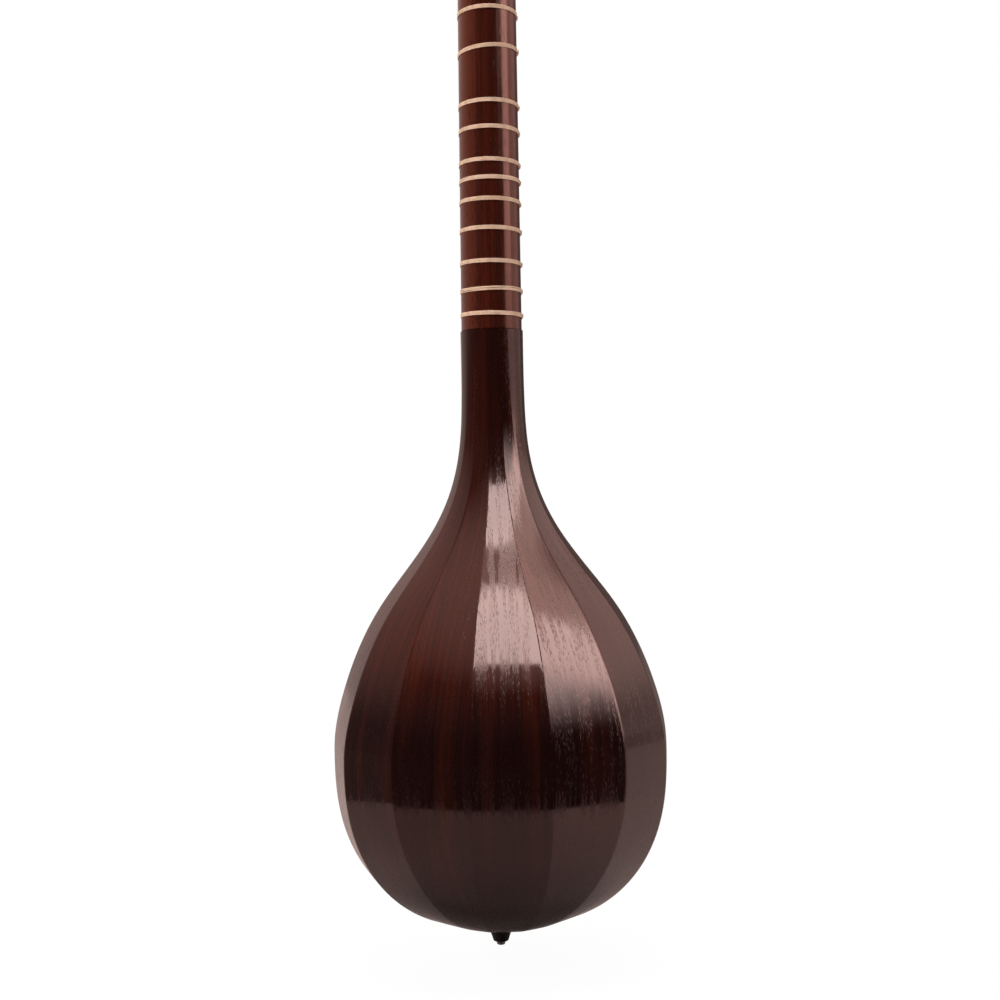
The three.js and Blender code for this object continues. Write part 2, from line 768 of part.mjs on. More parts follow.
// Half a turn round the knob's waist, then forward past its collar and over the soundboard's edge
function hookPoints(string, radius) {
  const side = Math.sign(edgeShares[string]);
  const reach = knobWaistRadius + seatGap + radius;
  const level = tailZ + collarBottom - hookLevelShares[string] * knobWaist;
  const points = [];
  for (let step = 0; step <= hookSteps; step += 1) {
    const angle = (step / hookSteps) * Math.PI;
    points.push(point(-side * reach * Math.cos(angle), knobInset + reach * Math.sin(angle), level));
  }
  const edgeFront = boardFront - seatGap - radius;
  points.push(point(side * reach, knobInset - knobRadius - seatGap, level));
  points.push(point(edgeShares[string] * knobRadius, edgeFront, tailZ - seatGap - radius));
  points.push(point(edgeShares[string] * knobRadius, edgeFront - radius, tailZ + seatGap));
  return points;
}

function pegWinding(place, radius) {
  const reach = pegShaftRadius + seatGap + radius;
  const steps = windingTurns * windingSteps;
  const points = [];
  for (let step = 0; step <= steps; step += 1) {
    const angle = (step / windingSteps) * 2 * Math.PI;
    const along = windingClearance + (windingTurns - step / windingSteps) * windingPitch;
    points.push(place.position.clone()
      .addScaledVector(place.outward, along)
      .addScaledVector(place.toString, reach * Math.cos(angle))
      .add(point(0, 0, reach * Math.sin(angle))));
  }
  return points;
}

const stringDiameters = {
  treble: trebleStringDiameter,
  second: secondStringDiameter,
  drone: droneStringDiameter,
  bass: bassStringDiameter,
};
let leastStringGap = Infinity;
Object.entries(stringDiameters).forEach(([string, diameter]) => {
  const radius = diameter / 2;
  const winding = pegWinding(pegs[string], radius);
  const route = [
    ...hookPoints(string, radius),
    point(bridgeStringShares[string] * bridgeLength, bridgeTop - seatGap - radius, -stringLength),
    point(nutStringShares[string] * nutWidth, nutTop - seatGap - radius, 0),
    point(nutStringShares[string] * nutWidth, nutTop - seatGap - radius, nutThickness),
    ...winding,
  ];
  const metal = string === 'second' || string === 'bass' ? materials.bronze : materials.steel;
  addPiece(setar, `${string}_string`, tube(route, radius, stringSides), metal);
  leastStringGap = Math.min(leastStringGap, leastGap(winding, windingSteps, diameter));
});
console.log(`string windings: least gap between turns ${leastStringGap.toFixed(2)} mm`);

export default setar;
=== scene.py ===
"""A setar, the long-necked lute of Iran, finished and lit for a view of its back.

Metres, in the part's own frame: +Z runs up the neck, -Y is the front with the soundboard, and +X is
the treble side. The origin lies at the nut, on the neck's centre line, in the plane of the bowl's rim.
"""

import json
import math
import random
from functools import partial

import bpy
import numpy as np
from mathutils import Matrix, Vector

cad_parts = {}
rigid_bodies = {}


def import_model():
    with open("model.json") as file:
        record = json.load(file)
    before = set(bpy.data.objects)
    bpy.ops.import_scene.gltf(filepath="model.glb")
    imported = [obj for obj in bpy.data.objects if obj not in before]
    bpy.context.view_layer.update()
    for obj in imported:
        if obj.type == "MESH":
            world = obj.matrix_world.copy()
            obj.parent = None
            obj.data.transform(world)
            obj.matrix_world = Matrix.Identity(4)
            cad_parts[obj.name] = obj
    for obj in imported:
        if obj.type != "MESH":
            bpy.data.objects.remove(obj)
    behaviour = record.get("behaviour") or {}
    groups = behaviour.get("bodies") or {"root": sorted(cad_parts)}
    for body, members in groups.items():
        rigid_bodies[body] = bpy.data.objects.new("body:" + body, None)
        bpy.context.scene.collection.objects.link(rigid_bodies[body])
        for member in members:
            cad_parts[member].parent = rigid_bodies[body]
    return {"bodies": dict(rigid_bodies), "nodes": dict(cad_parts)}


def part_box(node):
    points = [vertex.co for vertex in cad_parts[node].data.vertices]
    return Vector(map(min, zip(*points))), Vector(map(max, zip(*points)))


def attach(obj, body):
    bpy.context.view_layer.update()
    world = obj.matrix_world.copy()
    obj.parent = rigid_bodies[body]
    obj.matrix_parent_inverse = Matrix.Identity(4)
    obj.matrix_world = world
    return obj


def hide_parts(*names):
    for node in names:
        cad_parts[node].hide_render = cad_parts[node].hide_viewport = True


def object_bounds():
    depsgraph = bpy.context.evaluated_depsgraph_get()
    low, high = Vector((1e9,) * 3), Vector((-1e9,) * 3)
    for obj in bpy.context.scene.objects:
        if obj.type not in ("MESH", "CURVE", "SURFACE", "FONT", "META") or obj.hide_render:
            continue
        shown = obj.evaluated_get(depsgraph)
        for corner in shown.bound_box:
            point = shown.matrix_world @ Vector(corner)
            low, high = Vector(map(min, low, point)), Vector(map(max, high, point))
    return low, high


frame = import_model()
CAD_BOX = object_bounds()

MM = 0.001
UP = Vector((0, 0, 1))
SHARP_ANGLE = 35              # degrees: edges that turn more than this aren't smoothed
BOARD_SHARP_ANGLE = 40
PEG_SHARP_ANGLE = 42
STRAND_SHARP_ANGLE = 60
BEVEL_ANGLE = math.radians(30)
OVERCUT = 1 * MM              # how far a cutter reaches past what it cuts
SEAT_GAP = 0.3 * MM           # the gap that the solids keep where pieces touch
THIN_GAP = SEAT_GAP / 8       # and what is left of it here

# Places that come from the frame
TAIL_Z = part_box("soundboard")[0].z
JOINT_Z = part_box("soundboard")[1].z
HEAD_TOP_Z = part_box("neck")[1].z
BOARD_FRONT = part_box("soundboard")[0].y
FINGERBOARD_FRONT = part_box("fingerboard")[0].y
BRIDGE_Z = (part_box("bridge")[0].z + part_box("bridge")[1].z) / 2

# Bowl
BOWL_LENGTH = JOINT_Z - TAIL_Z
BOWL_HALF_WIDTH = 73.7 * MM
BOWL_DEPTH = 105.7 * MM
WIDEST_HEIGHT = 85.5 * MM
TAIL_OPENING = 4 * MM
STAVE_THICKNESS = 3.5 * MM
STAVE_PROUD = 0.5 * MM
STAVE_CAMBER = 0.12 * MM
WIDTH_ROUNDNESS = 2.54
DEPTH_ROUNDNESS = 2.93
RIDGE_ROUNDING = 0.8 * MM     # how far along a facet the rounding of a ridge reaches
SMOOTH_FROM = 205 * MM        # above the tail end: the ridges fade out from here
SMOOTH_TO = 273 * MM          # and are gone here
MELTED_SHARE = 0.86           # of a facet's width that the rounding takes there
GLUE_LINE = 0.03 * MM
LOW_ROWS = 70
HIGH_ROWS = 110
ARC_COLUMNS = 5
FLAT_COLUMNS = 6

# Neck and head
NUT_WIDTH = 25 * MM
JOINT_WIDTH = 28 * MM
HEAD_TOP_WIDTH = 22.8 * MM
NUT_DEPTH = 17.8 * MM
JOINT_DEPTH = 20 * MM
HEAD_TOP_DEPTH = 16.5 * MM
NECK_STRAIGHT_SIDE = 1.2 * MM
NECK_ARC_STEPS = 40
NECK_ROW = 6 * MM
TENON_WIDTH = 11 * MM
TENON_DEPTH = 10 * MM
TENON_LENGTH = 32 * MM
TENON_INSET = 3.5 * MM
EDGE_ROUNDING = 0.45 * MM
CAP_ROUNDING = 0.72 * MM
NUT_ROUNDING = 0.54 * MM

# Corners of half the bowl's section, from the rim to the back: shares of its half width and depth
WIDEST_CORNER_SHARES = [(0.951, 0), (1.012, 0.281), (0.934, 0.619), (0.658, 0.837), (0.228, 0.966)]
TAIL_CORNER_SHARES = [(0.951, 0), (1.012, 0.281), (0.83, 0.632), (0.41, 0.885), (0.2, 0.96)]
NECK_CORNER_SHARES = [(1, 0), (0.985, 0.31), (0.83, 0.64), (0.53, 0.88), (0.18, 1)]

# Above the widest place: share of the way up to the neck joint, and what is left there of the extra
# width and the extra depth that the bowl has over the neck
FLARE_SHARES = [
    (0.138, 0.924, 0.938), (0.252, 0.789, 0.7825), (0.338, 0.636, 0.632), (0.424, 0.434, 0.466),
    (0.51, 0.245, 0.3025), (0.595, 0.115, 0.168), (0.709, 0.028, 0.041), (0.822, 0.004, 0.007), (1, 0, 0),
]

# Soundboard
SOUND_HOLE_RADIUS = 1.3 * MM
SOUND_HOLE_RING = 4.6 * MM
SOUND_HOLE_STEPS = 20
FLOWER_HOLES = 6
TRIPLE_HOLES = 3
FLOWER_PLACE_SHARES = [(0, 0.6), (-0.42, 0.45), (0.42, 0.45)]
TRIPLE_PLACE_SHARES = [(-0.45, 0.2), (0.45, 0.2)]
BOARD_EDGE_ROUNDING = 0.7 / 3 * MM

# Bridge and nut
BRIDGE_LENGTH = 52 * MM
BRIDGE_THICKNESS = 4 * MM
BRIDGE_TOP_THICKNESS = 1.6 * MM
BRIDGE_FOOT_LENGTH = 9 * MM
BRIDGE_ARCH_HEIGHT = 3.4 * MM
BRIDGE_ARCH_STEPS = 28
BRIDGE_SHOULDER_STEPS = 8
BRIDGE_SHOULDER_SHARE = 0.25  # of the height, where the bridge's ends begin to turn in
BRIDGE_EDGE_ROUNDING = 0.25 * MM
NOTCH_DEPTH_SHARE = 0.2       # of a string's radius, from the edge to the notch's middle

# Tail knob and its pin
KNOB_INSET = 3.4 * MM
KNOB_RADIUS = 5 * MM
KNOB_END_RADIUS = 3.5 * MM
KNOB_END_LENGTH = 2 * MM      # of the plain lower end, below the taper
KNOB_TAPER_RADIUS = 4.05 * MM
KNOB_WAIST_RADIUS = 2.8 * MM
KNOB_SHANK_RADIUS = 2.5 * MM
KNOB_SHANK_LENGTH = 12 * MM
KNOB_LENGTH = 10 * MM
KNOB_COLLAR = 1.2 * MM
KNOB_WAIST = 2.1 * MM
KNOB_RIM = 2.2 * MM           # thickness of the head's full width, under the groove
KNOB_EDGE = 0.55 * MM
COLLAR_BOTTOM = -(SEAT_GAP + KNOB_COLLAR)
WAIST_BOTTOM = COLLAR_BOTTOM - KNOB_WAIST
KNOB_BOTTOM = -(SEAT_GAP + KNOB_LENGTH)
PIN_TIP_RADIUS = 2 * MM
PIN_TIP_LENGTH = 1.5 * MM
PIN_RADIUS = 1 * MM
PIN_DEPTH = 1.5 * MM
PIN_DOME = 0.9 * MM
PIN_EDGE = 0.15 * MM
PROFILE_CORNER_STEPS = 5
LATHE_STEPS = 56

# Tuning pegs
HEAD_LENGTH = 118 * MM
PEG_GRIP = 13.5 * MM
PEG_EXPOSED = 8 * MM
PEG_SHAFT_RADIUS = 3.75 * MM
PEG_TIP_RADIUS = 3.45 * MM
PEG_TIP_EDGE = 0.4 * MM
PEG_SHOULDER = 0.2 * MM
PEG_HOLE_CLEARANCE = 0.12 * MM
PEG_HANDLE_LENGTH = 30 * MM
PEG_HANDLE_RADIUS = 8 * MM
PEG_FLUTES = 8
PEG_FLUTE_ENDS = (0.24, 0.9)   # shares of the handle's length
PEG_FLUTE_SHARE = 0.075       # how deep the flutes of a handle are, as a share of its radius
SIDE_PEG_INSET = 6 * MM
FRONT_PEG_SHARES = (0.27, 0.645)
SIDE_PEG_SHARES = (0.46, 0.825)
PEG_HANDLE_SHARES = [
    (0, 0.62), (0.015, 0.66), (0.05, 0.66), (0.065, 0.62), (0.075, 0.5), (0.13, 0.5), (0.2, 0.56),
    (0.28, 0.69), (0.36, 0.84), (0.46, 0.96), (0.56, 1), (0.66, 0.985), (0.76, 0.92), (0.84, 0.8),
    (0.9, 0.64), (0.935, 0.47), (0.945, 0.33), (0.96, 0.36), (0.985, 0.31), (1, 0.18), (1, 0),
]
WINDING_START = 1.6 * MM
WINDING_LENGTH = 2.55 * MM
WINDING_TURNS = 7
WINDING_STEPS = 28

# Tied frets: heights come from the frame
GUT_RADIUS = 0.235 * MM
GUT_TURNS = 4
GUT_SIDES = 8
GUT_ARC_STEPS = 36
FRET_TILT = 0.012             # radians, how far a fret may lean from square
FRET_17_TILT = 0.068
FRET_WOBBLE = 0.03 * MM       # how far a strand may wander from its place
FRET_25_WOBBLE = 0.12 * MM
WOBBLE_WAVES = 1.37           # to a turn, so that each turn wanders another way
WOBBLE_PHASE = 4000           # radians per metre of height, so that each fret does
KNOT_SCALE = 0.42 * MM
KNOT_STEPS = 42
KNOT_SIDES = 7
KNOT_STRETCH = 1.24           # along the neck
KNOT_OUT = KNOT_SCALE * 1.05  # from the strand to the knot's middle
KNOT_GUT_RADIUS = GUT_RADIUS * 0.95
KNOT_PLACES = (-1.6 * MM, 0.4 * MM)
STRAP_STEPS = 8
STRAP_LENGTH = 2 * GUT_RADIUS * GUT_TURNS + 1 * MM
STRAP_OUT = GUT_RADIUS * 0.4
STRAP_BOW = GUT_RADIUS * 1.2
KNOT_TAIL_RADIUS = GUT_RADIUS * 0.9
KNOT_TAIL_OUT = 0.25 * MM
KNOT_TAIL_ASIDE = (0.9 * MM, 1.5 * MM)
KNOT_TAIL_RISE = (0.5 * MM, 1.1 * MM)

# Strings
STRING_RADII = {"treble": 0.1 * MM, "second": 0.1 * MM, "drone": 0.1 * MM, "bass": 0.175 * MM}
STRING_SIDES = 8
BRONZE_STRINGS = ("second", "bass")
NUT_STRING_SHARES = {"treble": 0.3, "second": 0.065, "drone": -0.225, "bass": -0.32}
BRIDGE_STRING_SHARES = {"treble": 0.21, "second": 0.04, "drone": -0.155, "bass": -0.21}
NUT_PLACES = {string: share * NUT_WIDTH for string, share in NUT_STRING_SHARES.items()}
BRIDGE_PLACES = {string: share * BRIDGE_LENGTH for string, share in BRIDGE_STRING_SHARES.items()}
HOOK_LEVEL_SHARES = {"treble": 0.14, "drone": 0.38, "second": 0.62, "bass": 0.86}
EDGE_SHARES = {"treble": 0.52, "second": 0.17, "drone": -0.17, "bass": -0.52}
NUT_LIFT_SHARE = 0.3          # of a string's radius, from the nut's front to its middle
NUT_NOTCH_FIT = 1.15
BRIDGE_NOTCH_FIT = 1.2
LOOP_STEPS = 20
LOOP_START = math.radians(-60)
LOOP_SWEEP = math.radians(240)
LOOP_DROP = 2.2               # string radii, from the loop's mouth to its end
TWIST_LENGTH = 9 * MM
TWIST_TURNS = 7
TWIST_STEPS = 12
TWIST_REACH_SHARE = 1.9       # of the radius, from the string to the end twisted round it
TWIST_RADIUS_SHARE = 0.9

# Inside, seen only through the sound holes
INNER_NODES = [
    "neck_block", "end_block", "rim_lining_bass", "rim_lining_treble", "lower_brace", "upper_brace",
]

# Camera, as it stood for the photograph
IMAGE_SIZE = 1000
FOCAL_PIXELS = 1558.75
PRINCIPAL_POINT = (493.4, 453)
CAMERA_PLACE = (38 * MM, 728 * MM, -518.5 * MM)
CAMERA_ROLL = -0.015
SENSOR_WIDTH = 36

# Limits that most of a noise keeps to
NOISE_LOW = 0.3
NOISE_HIGH = 0.7

# Floor and the room that the lacquer mirrors
WHITE = (1, 1, 1)
FLOOR_WHITE = (0.95, 0.95, 0.95)
FLOOR_Z = CAD_BOX[0].z - 0.2 * MM
FLOOR_REACH = 2.2
TABLE_RADIUS = 0.29           # of the pale round table top that the lacquer mirrors
TABLE_TOP = (0.365, 0.285, 0.265)
# Painted shadow: the table's darker colour where the bowl stands
TABLE_PAINTED_SHADOW = (0.2, 0.16, 0.15)
TABLE_END = TABLE_RADIUS * 1.06
SHADOW_END = TABLE_RADIUS * 2.5
SHADOW_GLOW = 0.965           # share of plain white in what the camera sees near the bowl
SOFT_LIGHT = 0.22
WALL_FOOT = 0.8               # the most brightness that a wall has at floor level
WALL_TOP = 5
WALL_FADES = [(0.2, 0.35, 0.65, 1), (0.55, 0.85, 1, 0.5), (0.25, 0.45, 1, 1.4)]
CEILING_GLOWS = [(0.72, 0.9, 0, 0.8), (0.93, 0.975, 0, 1)]

# Brightness of the room that the lacquer mirrors, by degrees of azimuth from +Y towards +X
ROOM_WALLS = [
    (-180, 0.15), (-140, 0.2), (-132, 0.9), (-112, 1), (-98, 1.1), (-91, 4.6), (-68, 4.6), (-62, 0.1),
    (-50, 0.03), (-20, 0.03), (40, 0.03), (75, 0.05), (98, 0.14), (125, 0.42), (150, 0.62), (180, 0.66),
]
ROOM_TINT = (1, 0.74, 0.68)

# Lamps: place from the bowl's middle, the way they face, size and radiance
BOWL_MIDDLE = Vector((0, BOWL_DEPTH / 2, TAIL_Z + WIDEST_HEIGHT))
LAMPLIGHT = (1, 0.94, 0.92)
LAMPS = {
    "high_panel": ((-0.2, 0.8, 2), (0, 0, -1), (1.2, 0.625), 8.8),
    "side_window": ((-2, 1.32, 2), (1, 0, 0), (1.88, 2.8), 5.2),
    "left_light": ((2.1, 0.5, 0.9), (-0.9, -0.2, -0.38), (1.2, 1.2), 12.5),
    "ceiling_light": ((0, 0.4, 1.6), (0, 0, -1), (1.6, 1.6), 1.6),
    "front_light": ((0.3, -1.6, 0.9), (-0.15, 0.87, -0.5), (1.4, 1.4), 3.4),
}
MIRRORED_LAMPS = ("high_panel", "side_window")
WINDOW_FADE = 0.8             # share of the window's height that dims towards its sill


# Mesh helpers

def between(start, end, share):
    return start + (end - start) * share


def progress(low, high, value):
    """How far a value has come from low to high, as a share from 0 to 1."""
    return min(max((value - low) / (high - low), 0), 1)


def fractions(count):
    """The shares from 0 to 1 in so many equal steps."""
    return [step / count for step in range(count + 1)]


def turns(count):
    """The angles of so many equal steps round a circle."""
    return [step / count * math.tau for step in range(count)]


def rounding(start, corner, end, share):
    """A point of the curve that rounds a corner from start to end."""
    return start * (1 - share) ** 2 + corner * 2 * share * (1 - share) + end * share ** 2


def helix(start, travel, side, up, reach, windings, steps):
    """Points of a coil along its travel; it begins at the side and turns up from there."""
    points = []
    for share in fractions(windings * steps):
        turn = share * windings * math.tau
        out = side * math.cos(turn) + up * math.sin(turn)
        points.append(start + travel * share + out * reach)
    return points


def add_to_scene(name, data):
    made = bpy.data.objects.new(name, data)
    bpy.context.scene.collection.objects.link(made)
    return made


def shade_smooth(mesh, sharp_angle=SHARP_ANGLE):
    mesh.polygons.foreach_set("use_smooth", [True] * len(mesh.polygons))
    mesh.set_sharp_from_angle(angle=math.radians(sharp_angle))


def make_object(name, body, smooth=True, sharp_angle=SHARP_ANGLE):
    points, faces = body
    mesh = bpy.data.meshes.new(name)
    mesh.from_pydata([tuple(point) for point in points], [], faces)
    mesh.validate()
    if smooth:
        shade_smooth(mesh, sharp_angle)
    return add_to_scene(name, mesh)


def facing_out(points, faces):
    """The faces of a closed body, all turned round if they point in."""
    p = np.array(points, float)
    volume = 0
    for face in faces:
        for second, third in zip(face[1:], face[2:]):
            volume += np.dot(p[face[0]], np.cross(p[second], p[third]))
    return faces if volume > 0 else [tuple(reversed(face)) for face in faces]


def walls_between(rings):
    """Points of rings of equally many points, and the faces between neighbouring rings."""
    count = len(rings[0])
    faces = []
    for first in range(0, (len(rings) - 1) * count, count):
        for corner in range(count):
            a = first + corner
            b = first + (corner + 1) % count
            faces.append((a, b, b + count, a + count))
    return [point for ring in rings for point in ring], faces


def loft(rings):
    """A body through rings of equally many points, closed at both ends."""
    points, faces = walls_between(rings)
    count = len(rings[0])
    faces.append(tuple(range(count))[::-1])
    faces.append(tuple(range(len(points) - count, len(points))))
    return points, facing_out(points, faces)


def lathe(profile, steps, flute=None):
    """A turned body about +Z from (radius, height) pairs that start and end on the axis."""
    rings = []
    for radius, height in profile[1:-1]:
        ring = []
        for turn in turns(steps):
            reach = radius * (flute(turn, height) if flute else 1)
            ring.append(Vector((reach * math.cos(turn), reach * math.sin(turn), height)))
        rings.append(ring)
    points, faces = walls_between(rings)
    last = len(points) - steps
    for height, first, way in ((profile[0][1], 0, -1), (profile[-1][1], last, 1)):
        hub = len(points)
        points.append(Vector((0, 0, height)))
        faces += [(hub, first + step, first + (step + 1) % steps)[::way] for step in range(steps)]
    return points, facing_out(points, faces)


def tube(path, radius, sides):
    """A round bar along a list of points."""
    path = [Vector(p) for p in path]
    rings = []
    across = None
    for index, here in enumerate(path):
        along = (path[min(index + 1, len(path) - 1)] - path[max(index - 1, 0)]).normalized()
        if across is None:
            across = Vector((1, 0, 0)) if abs(along.x) < abs(along.y) else Vector((0, 1, 0))
        across = (across - along * across.dot(along)).normalized()
        upward = along.cross(across)
        rings.append([
            here + (across * math.cos(turn) + upward * math.sin(turn)) * radius for turn in turns(sides)
        ])
    return loft(rings)


def joined(*bodies):
    """One body from several."""
    points, faces = [], []
    for body_points, body_faces in bodies:
        first = len(points)
        points += body_points
        faces += [tuple(first + corner for corner in face) for face in body_faces]
    return points, faces


def rectangle(low, high, z):
    return [Vector((x, y, z)) for x, y in (low, (high[0], low[1]), high, (low[0], high[1]))]


def box_body(low, high):
    return loft([rectangle(low[:2], high[:2], z) for z in (low[2], high[2])])


def turned_to(body, entry, outward):
    """A body made about +Z, moved so that it points outward from its entry."""
    turn = UP.rotation_difference(outward)
    return [entry + turn @ point for point in body[0]], body[1]


def settle(piece):
    """Turns a piece with modifiers, or a curve, into a plain mesh."""
    bpy.context.view_layer.update()
    depsgraph = bpy.context.evaluated_depsgraph_get()
    mesh = bpy.data.meshes.new_from_object(piece.evaluated_get(depsgraph))
    name = piece.name
    bpy.data.objects.remove(piece)
    return add_to_scene(name, mesh)


def bevelled(name, body, width, segments=3):
    """An object from a body, with its edges rounded."""
    piece = make_object(name, body)
    bevel = piece.modifiers.new("rounded edges", "BEVEL")
    bevel.width = width
    bevel.segments = segments
    bevel.limit_method = "ANGLE"
    bevel.angle_limit = BEVEL_ANGLE
    bevel.harden_normals = True
    return settle(piece)


def boolean(piece, operation, body):
    """A piece joined with a body, or with the body cut out of it."""
    cutter = make_object("cutter", body, smooth=False)
    modifier = piece.modifiers.new(operation, "BOOLEAN")
    modifier.operation = operation
    modifier.solver = "EXACT"
    modifier.object = cutter
    piece = settle(piece)
    bpy.data.objects.remove(cutter)
    return piece


def notched(piece, places, depth, ends, fit):
    """A piece with a round notch for each string, whose radius is multiplied by fit."""
    for string, radius in STRING_RADII.items():
        path = [Vector((places[string], depth + radius * NOTCH_DEPTH_SHARE, z)) for z in ends]
        piece = boolean(piece, "DIFFERENCE", tube(path, radius * fit, STRING_SIDES * 2))
    return piece


def paint(piece, slot):
    piece.data.materials.clear()
    piece.data.materials.append(MATERIALS[slot])


def place(piece, slot, node, body="instrument"):
    """Gives a piece its material and the body that it moves with, and hides the node it stands for."""
    paint(piece, slot)
    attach(piece, body)
    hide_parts(node)


# Bowl: nine bent staves

def smooth_curve(places, values, wanted):
    """Values at the wanted places of a cubic spline that starts and ends level."""
    steps = np.diff(places)
    rises = np.diff(values) / steps
    system = np.eye(len(places))
    goal = np.zeros(len(places))
    for knot in range(1, len(places) - 1):
        before, after = steps[knot - 1], steps[knot]
        system[knot, knot - 1:knot + 2] = after, 2 * (before + after), before
        goal[knot] = 3 * (after * rises[knot - 1] + before * rises[knot])
    slopes = np.linalg.solve(system, goal)
    span = np.clip(np.searchsorted(places, wanted, side="right") - 1, 0, len(steps) - 1)
    step, rise = steps[span], rises[span]
    share = (wanted - places[span]) / step
    start, end = slopes[span] * step, slopes[span + 1] * step
    sag = 3 * rise * step - 2 * start - end
    bend = start + end - 2 * rise * step
    return values[span] + start * share + sag * share ** 2 + bend * share ** 3


def bowl_profile():
    """Rows of (height, half width, depth) from the tail end to the neck joint."""
    rows = []
    first_turn = math.asin(TAIL_OPENING / BOWL_HALF_WIDTH)
    for step in range(LOW_ROWS):
        turn = first_turn + (math.pi / 2 - first_turn) * step / LOW_ROWS
        height = WIDEST_HEIGHT * (1 - math.cos(turn) ** (2 / WIDTH_ROUNDNESS))
        depth = BOWL_DEPTH * math.sqrt(1 - (1 - height / WIDEST_HEIGHT) ** DEPTH_ROUNDNESS)
        rows.append((height, BOWL_HALF_WIDTH * math.sin(turn), depth))
    up, wide, deep = np.array([(0, 1, 1), *FLARE_SHARES]).T
    wanted = np.linspace(0, 1, HIGH_ROWS + 1)
    neck_half_width = JOINT_WIDTH / 2 + STAVE_PROUD
    neck_depth = JOINT_DEPTH + STAVE_PROUD
    heights = WIDEST_HEIGHT + (BOWL_LENGTH - WIDEST_HEIGHT) * wanted
    half_widths = between(neck_half_width, BOWL_HALF_WIDTH, smooth_curve(up, wide, wanted))
    depths = between(neck_depth, BOWL_DEPTH, smooth_curve(up, deep, wanted))
    return rows + list(zip(heights, half_widths, depths))


def section_corners(height, half_width, depth):
    """The ten corners of the bowl's section, from the bass rim to the treble rim."""
    below = height < WIDEST_HEIGHT
    end, ends = (0, TAIL_CORNER_SHARES) if below else (BOWL_LENGTH, NECK_CORNER_SHARES)
    mix = ((height - WIDEST_HEIGHT) / (end - WIDEST_HEIGHT)) ** 2
    shares = between(np.array(WIDEST_CORNER_SHARES), np.array(ends), mix)
    treble = [np.array([wide * half_width, deep * depth, height]) for wide, deep in shares]
    bass = [corner * (-1, 1, 1) for corner in treble]
    return bass + treble[::-1]


def section_line(corners, height):
    """The section's line, with its ridges rounded; near the neck they melt into one curve."""
    melt = progress(SMOOTH_FROM, SMOOTH_TO, height)
    melt = melt * melt * (3 - 2 * melt)
    staves = len(corners) - 1
    reaches = []
    for start, end in zip(corners, corners[1:]):
        half = np.linalg.norm(end - start) / 2
        ridge = min(RIDGE_ROUNDING, half * MELTED_SHARE)
        reaches.append(between(ridge, half * MELTED_SHARE, melt) / (2 * half))
    line = []
    for stave in range(staves):
        start, end = corners[stave], corners[stave + 1]
        edge = end - start
        out = np.array([edge[1], -edge[0], 0]) / np.linalg.norm(edge)
        out *= np.sign(np.dot(out[:2], (start + end)[:2]))
        low = start + edge * reaches[stave]
        high = end - edge * reaches[stave]
        for step in range(ARC_COLUMNS):
            way = step / ARC_COLUMNS
            if stave == 0:
                line.append(between(start, low, way))
            else:
                before = between(start, corners[stave - 1], reaches[stave - 1])
                line.append(rounding(before, start, low, 0.5 + way / 2))
        for share in fractions(FLAT_COLUMNS):
            bulge = STAVE_CAMBER * (1 - melt) * 4 * share * (1 - share)
            line.append(between(low, high, share) + out * bulge)
        for step in range(1, ARC_COLUMNS):
            way = step / ARC_COLUMNS
            if stave == staves - 1:
                line.append(between(high, end, way))
            else:
                after = between(end, corners[stave + 2], reaches[stave + 1])
                line.append(rounding(high, end, after, way / 2))
    line.append(corners[-1])
    return line


STAVE_COLUMNS = 2 * ARC_COLUMNS + FLAT_COLUMNS
PROFILE = bowl_profile()
CORNER_ROWS = [section_corners(*row) for row in PROFILE]
OUTER = np.array([section_line(corners, row[0]) for corners, row in zip(CORNER_ROWS, PROFILE)])
STAVES = len(CORNER_ROWS[0]) - 1


def outward_normals(grid, rim_flat):
    along = np.gradient(grid, axis=0)
    across = np.gradient(grid, axis=1)
    out = np.cross(along, across)
    if rim_flat:
        out[:, 0, 1] = 0
        out[:, -1, 1] = 0
        out[-1, :, 2] = 0
    out /= np.linalg.norm(out, axis=2, keepdims=True)
    middle = np.array([0, 0, WIDEST_HEIGHT])
    if np.sum(out[len(grid) // 3] * (grid[len(grid) // 3] - middle)) < 0:
        out = -out
    return out


OUTER_NORMALS = outward_normals(OUTER, False)
CORNER_GRID = np.array(CORNER_ROWS)
INNER_CORNERS = CORNER_GRID - outward_normals(CORNER_GRID, True) * STAVE_THICKNESS


